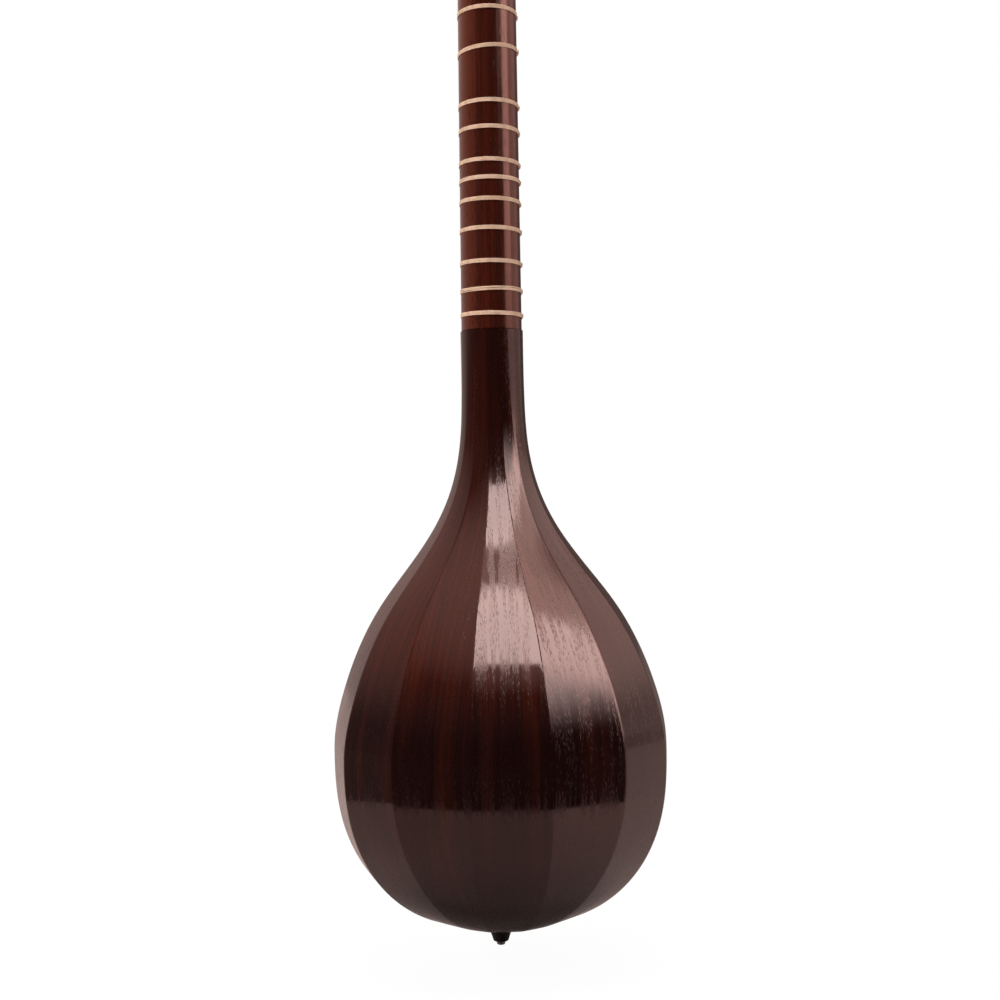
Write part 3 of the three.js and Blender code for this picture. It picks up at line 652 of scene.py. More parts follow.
def stave_piece(stave):
    first = stave * STAVE_COLUMNS
    outer = OUTER[:, first:first + STAVE_COLUMNS + 1].copy()
    normals = OUTER_NORMALS[:, first:first + STAVE_COLUMNS + 1]
    for here, neighbour, rim in ((0, 1, stave == 0), (-1, -2, stave == STAVES - 1)):
        if not rim:
            toward = outer[:, neighbour] - outer[:, here]
            outer[:, here] += toward / np.linalg.norm(toward, axis=1, keepdims=True) * GLUE_LINE / 2
    steps = np.linalg.norm(np.diff(outer, axis=1), axis=2)
    across = np.concatenate([np.zeros((len(outer), 1)), np.cumsum(steps, axis=1)], axis=1)
    shares = across / across[:, -1:]
    start, end = INNER_CORNERS[:, stave], INNER_CORNERS[:, stave + 1]
    inner = between(start[:, None], end[:, None], shares[:, :, None])
    middle = outer[:, STAVE_COLUMNS // 2]
    along = np.concatenate([[0], np.cumsum(np.linalg.norm(np.diff(middle, axis=0), axis=1))])
    across = across - across[:, -1:] / 2
    lift = np.array([0, 0, TAIL_Z])
    rings = [[*outer[row] + lift, *inner[row][::-1] + lift] for row in range(len(outer))]
    piece = make_object(f"stave_{stave + 1}", loft(rings))
    grain = []
    for row in range(len(outer)):
        values = [(wide, along[row], stave) for wide in across[row]]
        grain += values + values[::-1]
    attribute = piece.data.attributes.new("grain", "FLOAT_VECTOR", "POINT")
    attribute.data.foreach_set("vector", np.array(grain, np.float32).ravel())
    ring_size = len(rings[0])
    loop_normals = []
    for polygon in piece.data.polygons:
        places = [divmod(vertex, ring_size) for vertex in polygon.vertices]
        columns = [column for _, column in places]
        outside = max(columns) <= STAVE_COLUMNS and len(polygon.vertices) == 4
        for row, column in places:
            loop_normals.append(normals[row, column] if outside else polygon.normal)
    piece.data.normals_split_custom_set([tuple(normal) for normal in loop_normals])
    place(piece, "bowl_lacquer", f"bowl_stave_{stave + 1}")


# Neck, head and what is on them

def neck_size(z):
    """Half the width, and the depth, of the neck below the nut and of the head above it."""
    if z > 0:
        share, width, depth = z / HEAD_LENGTH, HEAD_TOP_WIDTH, HEAD_TOP_DEPTH
    else:
        share, width, depth = z / JOINT_Z, JOINT_WIDTH, JOINT_DEPTH
    return between(NUT_WIDTH, width, share) / 2, between(NUT_DEPTH, depth, share)


def neck_outline(z, front, steps=NECK_ARC_STEPS):
    """A flat front, short straight sides and a half ellipse behind."""
    half_width, depth = neck_size(z)
    outline = [(-half_width, front)]
    for share in fractions(steps):
        turn = share * math.pi
        behind = between(NECK_STRAIGHT_SIDE, depth, math.sin(turn))
        outline.append((-half_width * math.cos(turn), behind))
    return outline + [(half_width, front)]


def neck_ring(z, section_z):
    """The neck's outline at one height, laid at another."""
    return [Vector((x, y, z)) for x, y in neck_outline(section_z, 0)]


def peg_frames():
    """Where each peg enters the head, the way it points out, and the side its string comes from."""
    frames = {}
    for string, share in zip(("second", "treble"), FRONT_PEG_SHARES):
        frames[string] = (Vector((0, 0, share * HEAD_LENGTH)), Vector((0, -1, 0)), Vector((1, 0, 0)))
    for string, share in zip(("bass", "drone"), SIDE_PEG_SHARES):
        height = share * HEAD_LENGTH
        entry = Vector((-neck_size(height)[0], SIDE_PEG_INSET, height))
        frames[string] = (entry, Vector((-1, 0, 0)), Vector((0, -1, 0)))
    return frames


PEGS = peg_frames()


def neck_piece():
    foot = JOINT_Z + SEAT_GAP
    heights = [foot]
    while heights[-1] + NECK_ROW < HEAD_TOP_Z:
        heights.append(heights[-1] + NECK_ROW)
    heights.append(HEAD_TOP_Z)
    piece = make_object("neck_and_head", loft([neck_ring(z, z) for z in heights]))
    tenon = box_body(
        (-TENON_WIDTH / 2, TENON_INSET, JOINT_Z - TENON_LENGTH),
        (TENON_WIDTH / 2, TENON_INSET + TENON_DEPTH, foot + NECK_ROW / 2),
    )
    piece = boolean(piece, "UNION", tenon)
    deep = -(PEG_GRIP + SEAT_GAP)
    taper = (PEG_SHAFT_RADIUS - PEG_TIP_RADIUS) / PEG_GRIP
    wall = [(PEG_SHAFT_RADIUS + PEG_HOLE_CLEARANCE + taper * height, height) for height in (deep, OVERCUT)]
    hole = lathe([(0, deep), *wall, (0, OVERCUT)], LATHE_STEPS)
    for entry, outward, _ in PEGS.values():
        piece = boolean(piece, "DIFFERENCE", turned_to(hole, entry, outward))
    shade_smooth(piece.data)
    place(piece, "neck_lacquer", "neck")


def head_cap_piece():
    low, high = (corner.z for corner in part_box("head_cap"))
    body = loft([neck_ring(z, HEAD_LENGTH) for z in (low - SEAT_GAP / 2, high)])
    place(bevelled("head_end_cap", body, CAP_ROUNDING, 4), "dark_wood", "head_cap")


def fingerboard_piece():
    rings = []
    for z in (corner.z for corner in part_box("fingerboard")):
        half_width = neck_size(z)[0]
        rings.append(rectangle((-half_width, -THIN_GAP), (half_width, FINGERBOARD_FRONT), z))
    place(bevelled("fingerboard_strip", loft(rings), EDGE_ROUNDING), "dark_wood", "fingerboard")


def nut_piece():
    low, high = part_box("nut")
    body = box_body(low, (high.x, -THIN_GAP, high.z))
    piece = bevelled("nut_block", body, NUT_ROUNDING, 4)
    piece = notched(piece, NUT_PLACES, low.y, (low.z - OVERCUT, high.z + OVERCUT), NUT_NOTCH_FIT)
    place(piece, "bone", "nut")


# Soundboard

def hole_centres():
    """Where the sound holes are: flowers with a hole in the middle, and groups of three."""
    places = []
    for shares, count in ((FLOWER_PLACE_SHARES, FLOWER_HOLES), (TRIPLE_PLACE_SHARES, TRIPLE_HOLES)):
        for wide, high in shares:
            x = wide * BOWL_HALF_WIDTH
            z = TAIL_Z + high * BOWL_LENGTH
            if count == FLOWER_HOLES:
                places.append((x, z))
            places += [
                (x + SOUND_HOLE_RING * math.sin(turn), z + SOUND_HOLE_RING * math.cos(turn))
                for turn in turns(count)
            ]
    return places


def soundboard_piece():
    """A flat plate cut to the bowl's rim and drilled, with its edge and its holes rounded over."""
    curve = bpy.data.curves.new("soundboard_plate", "CURVE")
    curve.dimensions = "2D"
    curve.fill_mode = "BOTH"
    bass = [(row[0][0], row[0][2] + TAIL_Z) for row in OUTER]
    treble = [(row[-1][0], row[-1][2] + TAIL_Z) for row in OUTER][::-1]
    outlines = [[(0, TAIL_Z), *bass, *treble]]
    for x, z in hole_centres():
        outlines.append([
            (x + SOUND_HOLE_RADIUS * math.cos(turn), z + SOUND_HOLE_RADIUS * math.sin(turn))
            for turn in turns(SOUND_HOLE_STEPS)
        ])
    for outline in outlines:
        spline = curve.splines.new("POLY")
        spline.points.add(len(outline) - 1)
        for target, (x, z) in zip(spline.points, outline):
            target.co = (x, z, 0, 1)
        spline.use_cyclic_u = True
    curve.extrude = (-BOARD_FRONT - THIN_GAP) / 2 - BOARD_EDGE_ROUNDING
    curve.bevel_depth = BOARD_EDGE_ROUNDING
    curve.offset = -BOARD_EDGE_ROUNDING
    curve.bevel_resolution = 3
    piece = settle(add_to_scene("soundboard_plate", curve))
    middle = (BOARD_FRONT - THIN_GAP) / 2
    for vertex in piece.data.vertices:
        x, z, up = vertex.co
        vertex.co = (x, middle - up, z)
    piece.data.update()
    shade_smooth(piece.data, BOARD_SHARP_ANGLE)
    place(piece, "soundboard_wood", "soundboard")


# Bridge

def bridge_outline(height):
    """The bridge seen from the tail, as (x, height) pairs: two feet, an arch and rounded shoulders."""
    half = BRIDGE_LENGTH / 2
    arch_half = half - BRIDGE_FOOT_LENGTH
    outline = [(-half, 0), (-arch_half, 0)]
    for step in range(1, BRIDGE_ARCH_STEPS):
        turn = math.pi * (1 - step / BRIDGE_ARCH_STEPS)
        outline.append((arch_half * math.cos(turn), BRIDGE_ARCH_HEIGHT * math.sin(turn)))
    outline += [(arch_half, 0), (half, 0)]
    shoulder = []
    for share in fractions(BRIDGE_SHOULDER_STEPS):
        turn = share * math.pi / 2
        x = half - BRIDGE_FOOT_LENGTH / 2 * math.sin(turn)
        rise = (1 - math.cos(turn)) ** 0.5
        shoulder.append((x, height * between(BRIDGE_SHOULDER_SHARE, 1, rise)))
    return outline + shoulder + [(-x, z) for x, z in reversed(shoulder)]


def bridge_piece():
    """A low bar on two feet, thinner towards its top, with a notch under each string."""
    height = -(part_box("bridge")[0].y - BOARD_FRONT) + SEAT_GAP
    rings = []
    for side in (-1, 1):
        ring = []
        for x, up in bridge_outline(height):
            thick = between(BRIDGE_THICKNESS, BRIDGE_TOP_THICKNESS, up / height)
            ring.append(Vector((x, BOARD_FRONT - up, BRIDGE_Z + side * thick / 2)))
        rings.append(ring)
    piece = bevelled("bridge_bar", loft(rings), BRIDGE_EDGE_ROUNDING, 2)
    ends = (BRIDGE_Z - BRIDGE_THICKNESS, BRIDGE_Z + BRIDGE_THICKNESS)
    piece = notched(piece, BRIDGE_PLACES, BOARD_FRONT - height, ends, BRIDGE_NOTCH_FIT)
    place(piece, "dark_wood", "bridge")


# Tail knob and pin

def rounded_profile(profile):
    """The profile with each corner that has a third value rounded to that reach."""
    smooth = []
    for index, corner in enumerate(profile):
        if len(corner) == 2:
            smooth.append(corner)
            continue
        radius, height, reach = corner
        here = Vector((radius, height))
        before = Vector(profile[index - 1][:2]) - here
        after = Vector(profile[index + 1][:2]) - here
        start = here + before.normalized() * min(reach, before.length / 2)
        end = here + after.normalized() * min(reach, after.length / 2)
        smooth += [rounding(start, here, end, share)[:] for share in fractions(PROFILE_CORNER_STEPS)]
    return smooth


def turned_at_tail(name, profile):
    body = lathe(rounded_profile(profile), LATHE_STEPS)
    return make_object(name, turned_to(body, Vector((0, KNOB_INSET, TAIL_Z)), UP))


def knob_piece():
    piece = turned_at_tail("tail_button", [
        (0, KNOB_BOTTOM),
        (KNOB_END_RADIUS, KNOB_BOTTOM, KNOB_EDGE * 1.2),
        (KNOB_TAPER_RADIUS, KNOB_BOTTOM + KNOB_END_LENGTH, KNOB_EDGE * 2),
        (KNOB_RADIUS, WAIST_BOTTOM - KNOB_RIM, KNOB_EDGE * 2),
        (KNOB_RADIUS, WAIST_BOTTOM, KNOB_EDGE),
        (KNOB_WAIST_RADIUS, WAIST_BOTTOM + KNOB_EDGE / 3, KNOB_EDGE),
        (KNOB_WAIST_RADIUS, COLLAR_BOTTOM - KNOB_EDGE / 3, KNOB_EDGE),
        (KNOB_RADIUS, COLLAR_BOTTOM, KNOB_EDGE),
        (KNOB_RADIUS, -THIN_GAP, KNOB_EDGE / 3),
        (KNOB_SHANK_RADIUS, -THIN_GAP),
        (KNOB_SHANK_RADIUS, KNOB_SHANK_LENGTH, KNOB_EDGE),
        (0, KNOB_SHANK_LENGTH),
    ])
    place(piece, "dark_wood", "tail_knob")


def pin_piece():
    top = KNOB_BOTTOM - THIN_GAP
    low = KNOB_BOTTOM - SEAT_GAP - PIN_TIP_LENGTH
    piece = turned_at_tail("tail_button_pin", [
        (0, low),
        (PIN_TIP_RADIUS, low, PIN_DOME),
        (PIN_TIP_RADIUS, top, PIN_EDGE),
        (PIN_RADIUS, top),
        (PIN_RADIUS, top + PIN_DEPTH),
        (0, top + PIN_DEPTH),
    ])
    place(piece, "steel", "tail_pin")


# Pegs

def fluting(turn, height):
    """What the flutes leave of the handle's radius, deepest at the middle of their length."""
    low, high = (between(PEG_EXPOSED, PEG_EXPOSED + PEG_HANDLE_LENGTH, share) for share in PEG_FLUTE_ENDS)
    window = math.sin(progress(low, high, height) * math.pi) ** 0.7
    return 1 - PEG_FLUTE_SHARE * window * (0.5 + 0.5 * math.cos(turn * PEG_FLUTES)) ** 2


def peg_piece(string):
    entry, outward, _ = PEGS[string]
    profile = [
        (0, -PEG_GRIP),
        (PEG_TIP_RADIUS - PEG_TIP_EDGE, -PEG_GRIP),
        (PEG_TIP_RADIUS, -PEG_GRIP + PEG_TIP_EDGE),
        (PEG_SHAFT_RADIUS, 0),
        (PEG_SHAFT_RADIUS, PEG_EXPOSED - PEG_SHOULDER),
    ]
    for along, wide in PEG_HANDLE_SHARES:
        profile.append((wide * PEG_HANDLE_RADIUS, PEG_EXPOSED + along * PEG_HANDLE_LENGTH))
    body = turned_to(lathe(profile, LATHE_STEPS * 2, fluting), entry, outward)
    piece = make_object(f"{string}_peg_turned", body, sharp_angle=PEG_SHARP_ANGLE)
    place(piece, "dark_wood", f"{string}_peg", f"{string}_peg")


# Tied frets

def fret_line(z):
    """The strand's way once round the neck and its fingerboard, as (x, y) pairs."""
    middle = np.array([0, neck_size(z)[1] / 3])
    corners = [np.array(corner) for corner in neck_outline(z, FINGERBOARD_FRONT, GUT_ARC_STEPS)]
    line = []
    for index, corner in enumerate(corners):
        out = np.zeros(2)
        for edge in (corner - corners[index - 1], corners[(index + 1) % len(corners)] - corner):
            out += np.array([edge[1], -edge[0]]) / np.linalg.norm(edge)
        out /= np.linalg.norm(out)
        if np.dot(out, corner - middle) < 0:
            out = -out
        line.append(corner + out * GUT_RADIUS)
    return line


def fret_path(z, tilt, wobble):
    """One strand of gut wound round the neck, its turns side by side."""
    line = fret_line(z)
    path = []
    for step in range(GUT_TURNS * len(line) + 1):
        x, y = line[step % len(line)]
        turn = step / len(line)
        rise = (turn - GUT_TURNS / 2) * 2 * GUT_RADIUS
        wave = math.sin(turn * math.tau * WOBBLE_WAVES + z * WOBBLE_PHASE)
        path.append(Vector((x, y, z + rise - tilt * x + wobble * wave)))
    return path


def knot_path(centre):
    """A small overhand knot: a trefoil's line."""
    points = []
    for share in fractions(KNOT_STEPS):
        turn = share * math.tau
        across = math.sin(turn) + 2 * math.sin(2 * turn)
        along = math.cos(turn) - 2 * math.cos(2 * turn)
        lift = -math.sin(3 * turn)
        points.append(centre + Vector((lift, across, along * KNOT_STRETCH)) * KNOT_SCALE / 2)
    return points


def knot_bodies(side, behind, height, draw):
    """The knot of a fret, the strap that draws its turns together, and the knot's two tails."""
    centre = Vector((side - KNOT_OUT, behind, height))
    strap = []
    for share in fractions(STRAP_STEPS):
        x = side - STRAP_OUT - STRAP_BOW * math.sin(share * math.pi)
        strap.append(Vector((x, behind, height + (share - 0.5) * STRAP_LENGTH)))
    bodies = [tube(path, KNOT_GUT_RADIUS, KNOT_SIDES) for path in (knot_path(centre), strap)]
    for way in (-1, 1):
        aside = draw.uniform(*KNOT_TAIL_ASIDE) * way
        end = centre + Vector((-KNOT_TAIL_OUT, aside, draw.uniform(*KNOT_TAIL_RISE)))
        bodies.append(tube([centre, centre.lerp(end, 0.5), end], KNOT_TAIL_RADIUS, KNOT_SIDES))
    return bodies


def fret_piece(index, draw):
    node = f"fret_{index:02d}"
    low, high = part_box(node)
    z = (low.z + high.z) / 2
    tilt = FRET_17_TILT if index == 17 else draw.uniform(-FRET_TILT, FRET_TILT)
    wobble = FRET_25_WOBBLE if index == 25 else draw.uniform(0, FRET_WOBBLE)
    turned = tube(fret_path(z, tilt, wobble), GUT_RADIUS, GUT_SIDES)
    half_width = neck_size(z)[0]
    behind = draw.uniform(*KNOT_PLACES)
    knot = knot_bodies(-half_width - GUT_RADIUS, behind, z + tilt * half_width, draw)
    piece = make_object(f"tied_fret_{index:02d}", joined(turned, *knot), sharp_angle=STRAND_SHARP_ANGLE)
    place(piece, "gut", node, node)


# Strings

def loop_path(mouth, radius):
    """The string's loop round the knob's waist, drawn together above it."""
    reach = KNOB_WAIST_RADIUS + radius
    points = [mouth]
    for share in fractions(LOOP_STEPS):
        turn = LOOP_START - LOOP_SWEEP * share
        points.append(Vector((reach * math.cos(turn), KNOB_INSET + reach * math.sin(turn), mouth.z)))
    return [*points, mouth - UP * radius * LOOP_DROP]


def string_piece(string):
    """A string: its loop, its end twisted round it, its way to the peg and its windings there."""
    radius = STRING_RADII[string]
    edge_x = EDGE_SHARES[string] * KNOB_RADIUS
    level = TAIL_Z + COLLAR_BOTTOM - HOOK_LEVEL_SHARES[string] * KNOB_WAIST
    mouth = Vector((edge_x, KNOB_INSET - KNOB_RADIUS - radius, level))
    edge = Vector((edge_x, BOARD_FRONT - radius, TAIL_Z + radius))
    board = Vector((edge_x, BOARD_FRONT - radius, TAIL_Z + 1 * MM))
    bridge_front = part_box("bridge")[0].y - SEAT_GAP - radius
    bridge = Vector((BRIDGE_PLACES[string], bridge_front, BRIDGE_Z))
    nut_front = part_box("nut")[0].y - radius * NUT_LIFT_SHARE
    nut = [Vector((NUT_PLACES[string], nut_front, corner.z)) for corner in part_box("nut")]
    entry, outward, to_string = PEGS[string]
    winding = helix(
        entry + outward * (WINDING_START + WINDING_LENGTH), outward * -WINDING_LENGTH, to_string, UP,
        PEG_SHAFT_RADIUS + radius, WINDING_TURNS, WINDING_STEPS,
    )
    run = (bridge - board).normalized()
    side = run.cross(Vector((0, 1, 0))).normalized()
    reach = radius * TWIST_REACH_SHARE
    twist = helix(board, run * TWIST_LENGTH, side, run.cross(side), reach, TWIST_TURNS, TWIST_STEPS)
    body = joined(
        tube([mouth, edge, board, bridge, *nut, *winding], radius, STRING_SIDES),
        tube(loop_path(mouth, radius), radius, STRING_SIDES),
        tube(twist, radius * TWIST_RADIUS_SHARE, STRING_SIDES),
    )
    piece = make_object(f"{string}_string_wire", body, sharp_angle=STRAND_SHARP_ANGLE)
    place(piece, "bronze" if string in BRONZE_STRINGS else "steel", f"{string}_string")


# Shader helpers: a value is a socket, or a number or colour; the node tree is that of the first socket

def fill(target, value):
    """Links a socket to an input, or sets the input to a value."""
    if isinstance(value, bpy.types.NodeSocket):
        target.id_data.links.new(value, target)
    elif target.type == "RGBA":
        target.default_value = (*value, 1)
    else:
        target.default_value = value


def add_node(tree, kind, *values, **named):
    """A node with its inputs filled in order and by name; other names are its settings."""
    node = tree.nodes.new(kind)
    for name, value in named.items():
        socket = name.replace("_", " ")
        if socket in node.inputs:
            fill(node.inputs[socket], value)
        else:
            setattr(node, name, value)
    for target, value in zip(node.inputs, values):
        fill(target, value)
    return node


def tree_of(*values):
    return next(value.id_data for value in values if isinstance(value, bpy.types.NodeSocket))


def maths(operation, *values, clamp=False):
    tree = tree_of(*values)
    return add_node(tree, "ShaderNodeMath", *values, operation=operation, use_clamp=clamp).outputs[0]


times = partial(maths, "MULTIPLY")
plus = partial(maths, "ADD")
minus = partial(maths, "SUBTRACT")
over = partial(maths, "DIVIDE")


def ramped(value, low, high, start=0, end=1):
    """A number that goes smoothly from start to end while the value goes from low to high."""
    numbers = (value, low, high, start, end)
    node = add_node(value.id_data, "ShaderNodeMapRange", *numbers, interpolation_type="SMOOTHSTEP")
    return node.outputs[0]


def ramped_noise(noise, start, end):
    """The same for a noise, between the limits that most of it keeps to."""
    return ramped(noise, NOISE_LOW, NOISE_HIGH, start, end)


def mixed(share, first, second, blend="MIX"):
    """A mix of two colours."""
    tree = tree_of(share, first, second)
    node = add_node(tree, "ShaderNodeMix", share, data_type="RGBA", blend_type=blend)
    fill(node.inputs[6], first)
    fill(node.inputs[7], second)
    return node.outputs[2]


def mixed_number(share, first, second):
    node = add_node(share.id_data, "ShaderNodeMix", share)
    fill(node.inputs[2], first)
    fill(node.inputs[3], second)
    return node.outputs[0]


def axes(vector):
    return add_node(vector.id_data, "ShaderNodeSeparateXYZ", vector).outputs[:]


def coordinates(tree, kind):
    return add_node(tree, "ShaderNodeTexCoord").outputs[kind]


def stretched(vector, *factors):
    """A vector with each of its axes multiplied by a factor."""
    tree = vector.id_data
    factors = add_node(tree, "ShaderNodeCombineXYZ", *factors).outputs[0]
    return add_node(tree, "ShaderNodeVectorMath", vector, factors, operation="MULTIPLY").outputs[0]


def noise_at(vector, **settings):
    return add_node(vector.id_data, "ShaderNodeTexNoise", Vector=vector, **settings).outputs["Fac"]


def new_group(name, inputs, outputs):
    """A node group, the sockets of the vector and the numbers it is given, and those it puts out."""
    group = bpy.data.node_groups.new(name, "ShaderNodeTree")
    group.interface.new_socket(name="Vector", in_out="INPUT", socket_type="NodeSocketVector")
    for way, sockets in (("INPUT", inputs), ("OUTPUT", outputs)):
        for socket in sockets:
            group.interface.new_socket(name=socket, in_out=way, socket_type="NodeSocketFloat")
    given = group.nodes.new("NodeGroupInput").outputs[:len(inputs) + 1]
    return group, given, group.nodes.new("NodeGroupOutput").inputs


def open_pores_group():
    """Fine dashes along the grain, gathered in streaks; coordinates run across, along and per board."""
    sizes = ("Pore Width", "Pore Length", "Streak Width", "Amount")
    group, given, result = new_group("open pores", sizes, ("Pores", "Streaks"))
    vector, pore_width, pore_length, streak_width, amount = given
    along = over(1, pore_length)
    cells = stretched(vector, over(1, pore_width), along, 7.31)
    dashes = add_node(group, "ShaderNodeTexVoronoi", Vector=cells, feature="F1", Scale=1, Randomness=1)
    dash = ramped(dashes.outputs["Distance"], 0.5, 0.2)
    present = add_node(group, "ShaderNodeSeparateColor", dashes.outputs["Color"]).outputs[0]
    streak_cells = stretched(vector, over(1, streak_width), times(along, 0.055), 3.7)
    gathered = ramped(noise_at(streak_cells, Scale=1, Detail=2, Roughness=0.6), 0.44, 0.54)
    density = plus(times(gathered, 0.9), amount)
    fill(result["Streaks"], gathered)
    fill(result["Pores"], times(dash, maths("LESS_THAN", present, minus(density, 0.45))))
    return group


def wood_figure_group():
    """Long streaks of darker and lighter wood, one broad and one fine."""
    sizes = ("Broad Width", "Fine Width", "Length")
    group, given, result = new_group("wood figure", sizes, ("Broad", "Fine"))
    vector, broad_width, fine_width, length = given
    for name, width, detail, board in (("Broad", broad_width, 3, 11.3), ("Fine", fine_width, 2, 5.9)):
        cells = stretched(vector, over(1, width), over(1, length), board)
        noise = noise_at(cells, Scale=1, Detail=detail, Roughness=0.55, Distortion=0.25)
        fill(result[name], ramped_noise(noise, 0, 1))
    return group


def handling_group():
    """Faint unevenness of a hand-rubbed finish: low waves for the height, and a wandering sheen."""
    group, (vector, size), result = new_group("hand rubbed", ("Size",), ("Waves", "Sheen"))
    for name, factor, detail in (("Waves", 1, 1), ("Sheen", 2.3, 4)):
        scale = times(over(1, size), factor)
        fill(result[name], noise_at(vector, Scale=scale, Detail=detail, Roughness=0.5))
    return group


PORES = open_pores_group()
FIGURE = wood_figure_group()
HANDLING = handling_group()


def use_group(group, vector, **sizes):
    """What a group puts out for a vector and its sizes."""
    return add_node(vector.id_data, "ShaderNodeGroup", node_tree=group, Vector=vector, **sizes).outputs[:]


MATERIALS = {}


def new_material(name, **settings):
    """The shader of a new material, which is kept under its name."""
    MATERIALS[name] = bpy.data.materials.new(name)
    MATERIALS[name].use_nodes = True
    shader = MATERIALS[name].node_tree.nodes["Principled BSDF"]
    for socket, value in settings.items():
        fill(shader.inputs[socket.replace("_", " ")], value)
    return shader


def finished(shader, colour, roughness, *heights):
    """Gives a shader its colour, its roughness and a bump for each (height socket, depth) pair."""
    fill(shader.inputs["Base Color"], colour)
    fill(shader.inputs["Roughness"], roughness)
    bump = None
    for height, distance in heights:
        before = bump
        bump = add_node(shader.id_data, "ShaderNodeBump", Strength=1, Distance=distance, Height=height)
        if before is not None:
            fill(bump.inputs["Normal"], before.outputs[0])
    if bump is not None:
        fill(shader.inputs["Normal"], bump.outputs[0])


def grain_vector(shader):
    """Object coordinates with the grain's direction second."""
    x, y, z = axes(coordinates(shader.id_data, "Object"))
    return add_node(shader.id_data, "ShaderNodeCombineXYZ", x, z, y).outputs[0]


# Materials: each is kept under the name of its slot

# Colours that the red lacquers give to what they mirror
BOWL_TINT = (1, 0.76, 0.73)
NECK_TINT = (1, 0.58, 0.5)


def bowl_lacquer():
    """Dark red-brown lacquer over open-pored wood, with painted light warming its shoulder; the grain
    follows each stave.
    """
    shader = new_material("bowl_lacquer", IOR=1.58, Specular_Tint=BOWL_TINT)
    vector = add_node(shader.id_data, "ShaderNodeAttribute", attribute_name="grain").outputs["Vector"]
    broad, fine = use_group(FIGURE, vector, Broad_Width=8 * MM, Fine_Width=0.8 * MM, Length=120 * MM)
    pores, streaks = use_group(
        PORES, vector, Pore_Width=0.36 * MM, Pore_Length=2.6 * MM, Streak_Width=2.5 * MM, Amount=0.48,
    )
    waves, sheen = use_group(HANDLING, vector, Size=26 * MM)
    dark = mixed(fine, (0.0065, 0.0019, 0.0017), (0.0085, 0.0022, 0.0018))
    warm = mixed(fine, (0.026, 0.0048, 0.0028), (0.044, 0.0072, 0.0036))
    height = axes(vector)[1]
    # Painted light: a warmer band on the staves' shoulder, strongest 200 to 230 mm along them from the
    # tail, where they turn up towards the light from above.
    shoulder = ramped(height, 160 * MM, 200 * MM, 0, 0.75)
    shoulder = times(shoulder, ramped(height, 230 * MM, 300 * MM, 1, 0.25))
    colour = mixed(plus(ramped(broad, 0.3, 1, 0, 0.3), shoulder, clamp=True), dark, warm)
    colour = mixed(times(pores, 0.5), colour, (0.005, 0.002, 0.0016))
    rough = plus(times(streaks, 0.08), times(pores, 0.18))
    rough = plus(ramped_noise(sheen, 0.05, 0.075), rough)
    finished(shader, colour, rough, (waves, 0.05 * MM), (fine, 0.006 * MM), (minus(1, pores), 0.01 * MM))


def neck_lacquer():
    """Redder and thinner lacquer, with painted light making it paler towards the neck's sides."""
    shader = new_material("neck_lacquer", IOR=1.68, Specular_Tint=NECK_TINT)
    vector = grain_vector(shader)
    broad, fine = use_group(FIGURE, vector, Broad_Width=7 * MM, Fine_Width=0.9 * MM, Length=120 * MM)
    pores, _ = use_group(
        PORES, vector, Pore_Width=0.4 * MM, Pore_Length=4 * MM, Streak_Width=3 * MM, Amount=0.3,
    )
    waves, sheen = use_group(HANDLING, vector, Size=30 * MM)
    dark = mixed(fine, (0.018, 0.0038, 0.0026), (0.027, 0.0048, 0.003))
    warm = mixed(fine, (0.034, 0.0056, 0.003), (0.052, 0.0085, 0.0042))
    # Painted light: paler towards both sides of the neck, where light falls on its flanks.
    aside = ramped(maths("ABSOLUTE", axes(vector)[0]), 5 * MM, 10.5 * MM, 0, 0.75)
    colour = mixed(aside, mixed(broad, dark, warm), (0.078, 0.0165, 0.0075))
    colour = mixed(times(pores, 0.7), colour, (0.01, 0.003, 0.0022))
    rough = ramped_noise(sheen, 0.12, 0.2)
    finished(shader, colour, rough, (waves, 0.1 * MM), (minus(1, pores), 0.02 * MM))


def dark_wood():
    """Ebony: nearly black, close-pored and polished."""
    shader = new_material("dark_wood", IOR=1.5)
    vector = grain_vector(shader)
    broad, fine = use_group(FIGURE, vector, Broad_Width=4 * MM, Fine_Width=0.5 * MM, Length=60 * MM)
    pores, _ = use_group(
        PORES, vector, Pore_Width=0.25 * MM, Pore_Length=2.4 * MM, Streak_Width=2 * MM, Amount=0.3,
    )
    _, sheen = use_group(HANDLING, vector, Size=9 * MM)
    colour = mixed(fine, (0.007, 0.005, 0.0045), (0.017, 0.011, 0.009))
    colour = mixed(ramped(broad, 0.6, 1), colour, (0.03, 0.017, 0.012))
    finished(shader, colour, ramped_noise(sheen, 0.24, 0.36), (minus(1, pores), 0.02 * MM))


def soundboard_wood():
    """Pale mulberry under a thin satin varnish, with the long streaks of its grain."""
    shader = new_material("soundboard_wood", IOR=1.48)
    vector = grain_vector(shader)
    broad, fine = use_group(FIGURE, vector, Broad_Width=9 * MM, Fine_Width=0.8 * MM, Length=200 * MM)
    pores, _ = use_group(
        PORES, vector, Pore_Width=0.3 * MM, Pore_Length=5 * MM, Streak_Width=4 * MM, Amount=0.35,
    )
    _, sheen = use_group(HANDLING, vector, Size=40 * MM)
    colour = mixed(fine, (0.43, 0.235, 0.092), (0.56, 0.33, 0.145))
    colour = mixed(times(broad, 0.55), colour, (0.34, 0.16, 0.058))
    colour = mixed(times(pores, 0.6), colour, (0.16, 0.07, 0.025))
    rough = ramped_noise(sheen, 0.3, 0.42)
    finished(shader, colour, rough, (fine, 0.01 * MM), (minus(1, pores), 0.03 * MM))


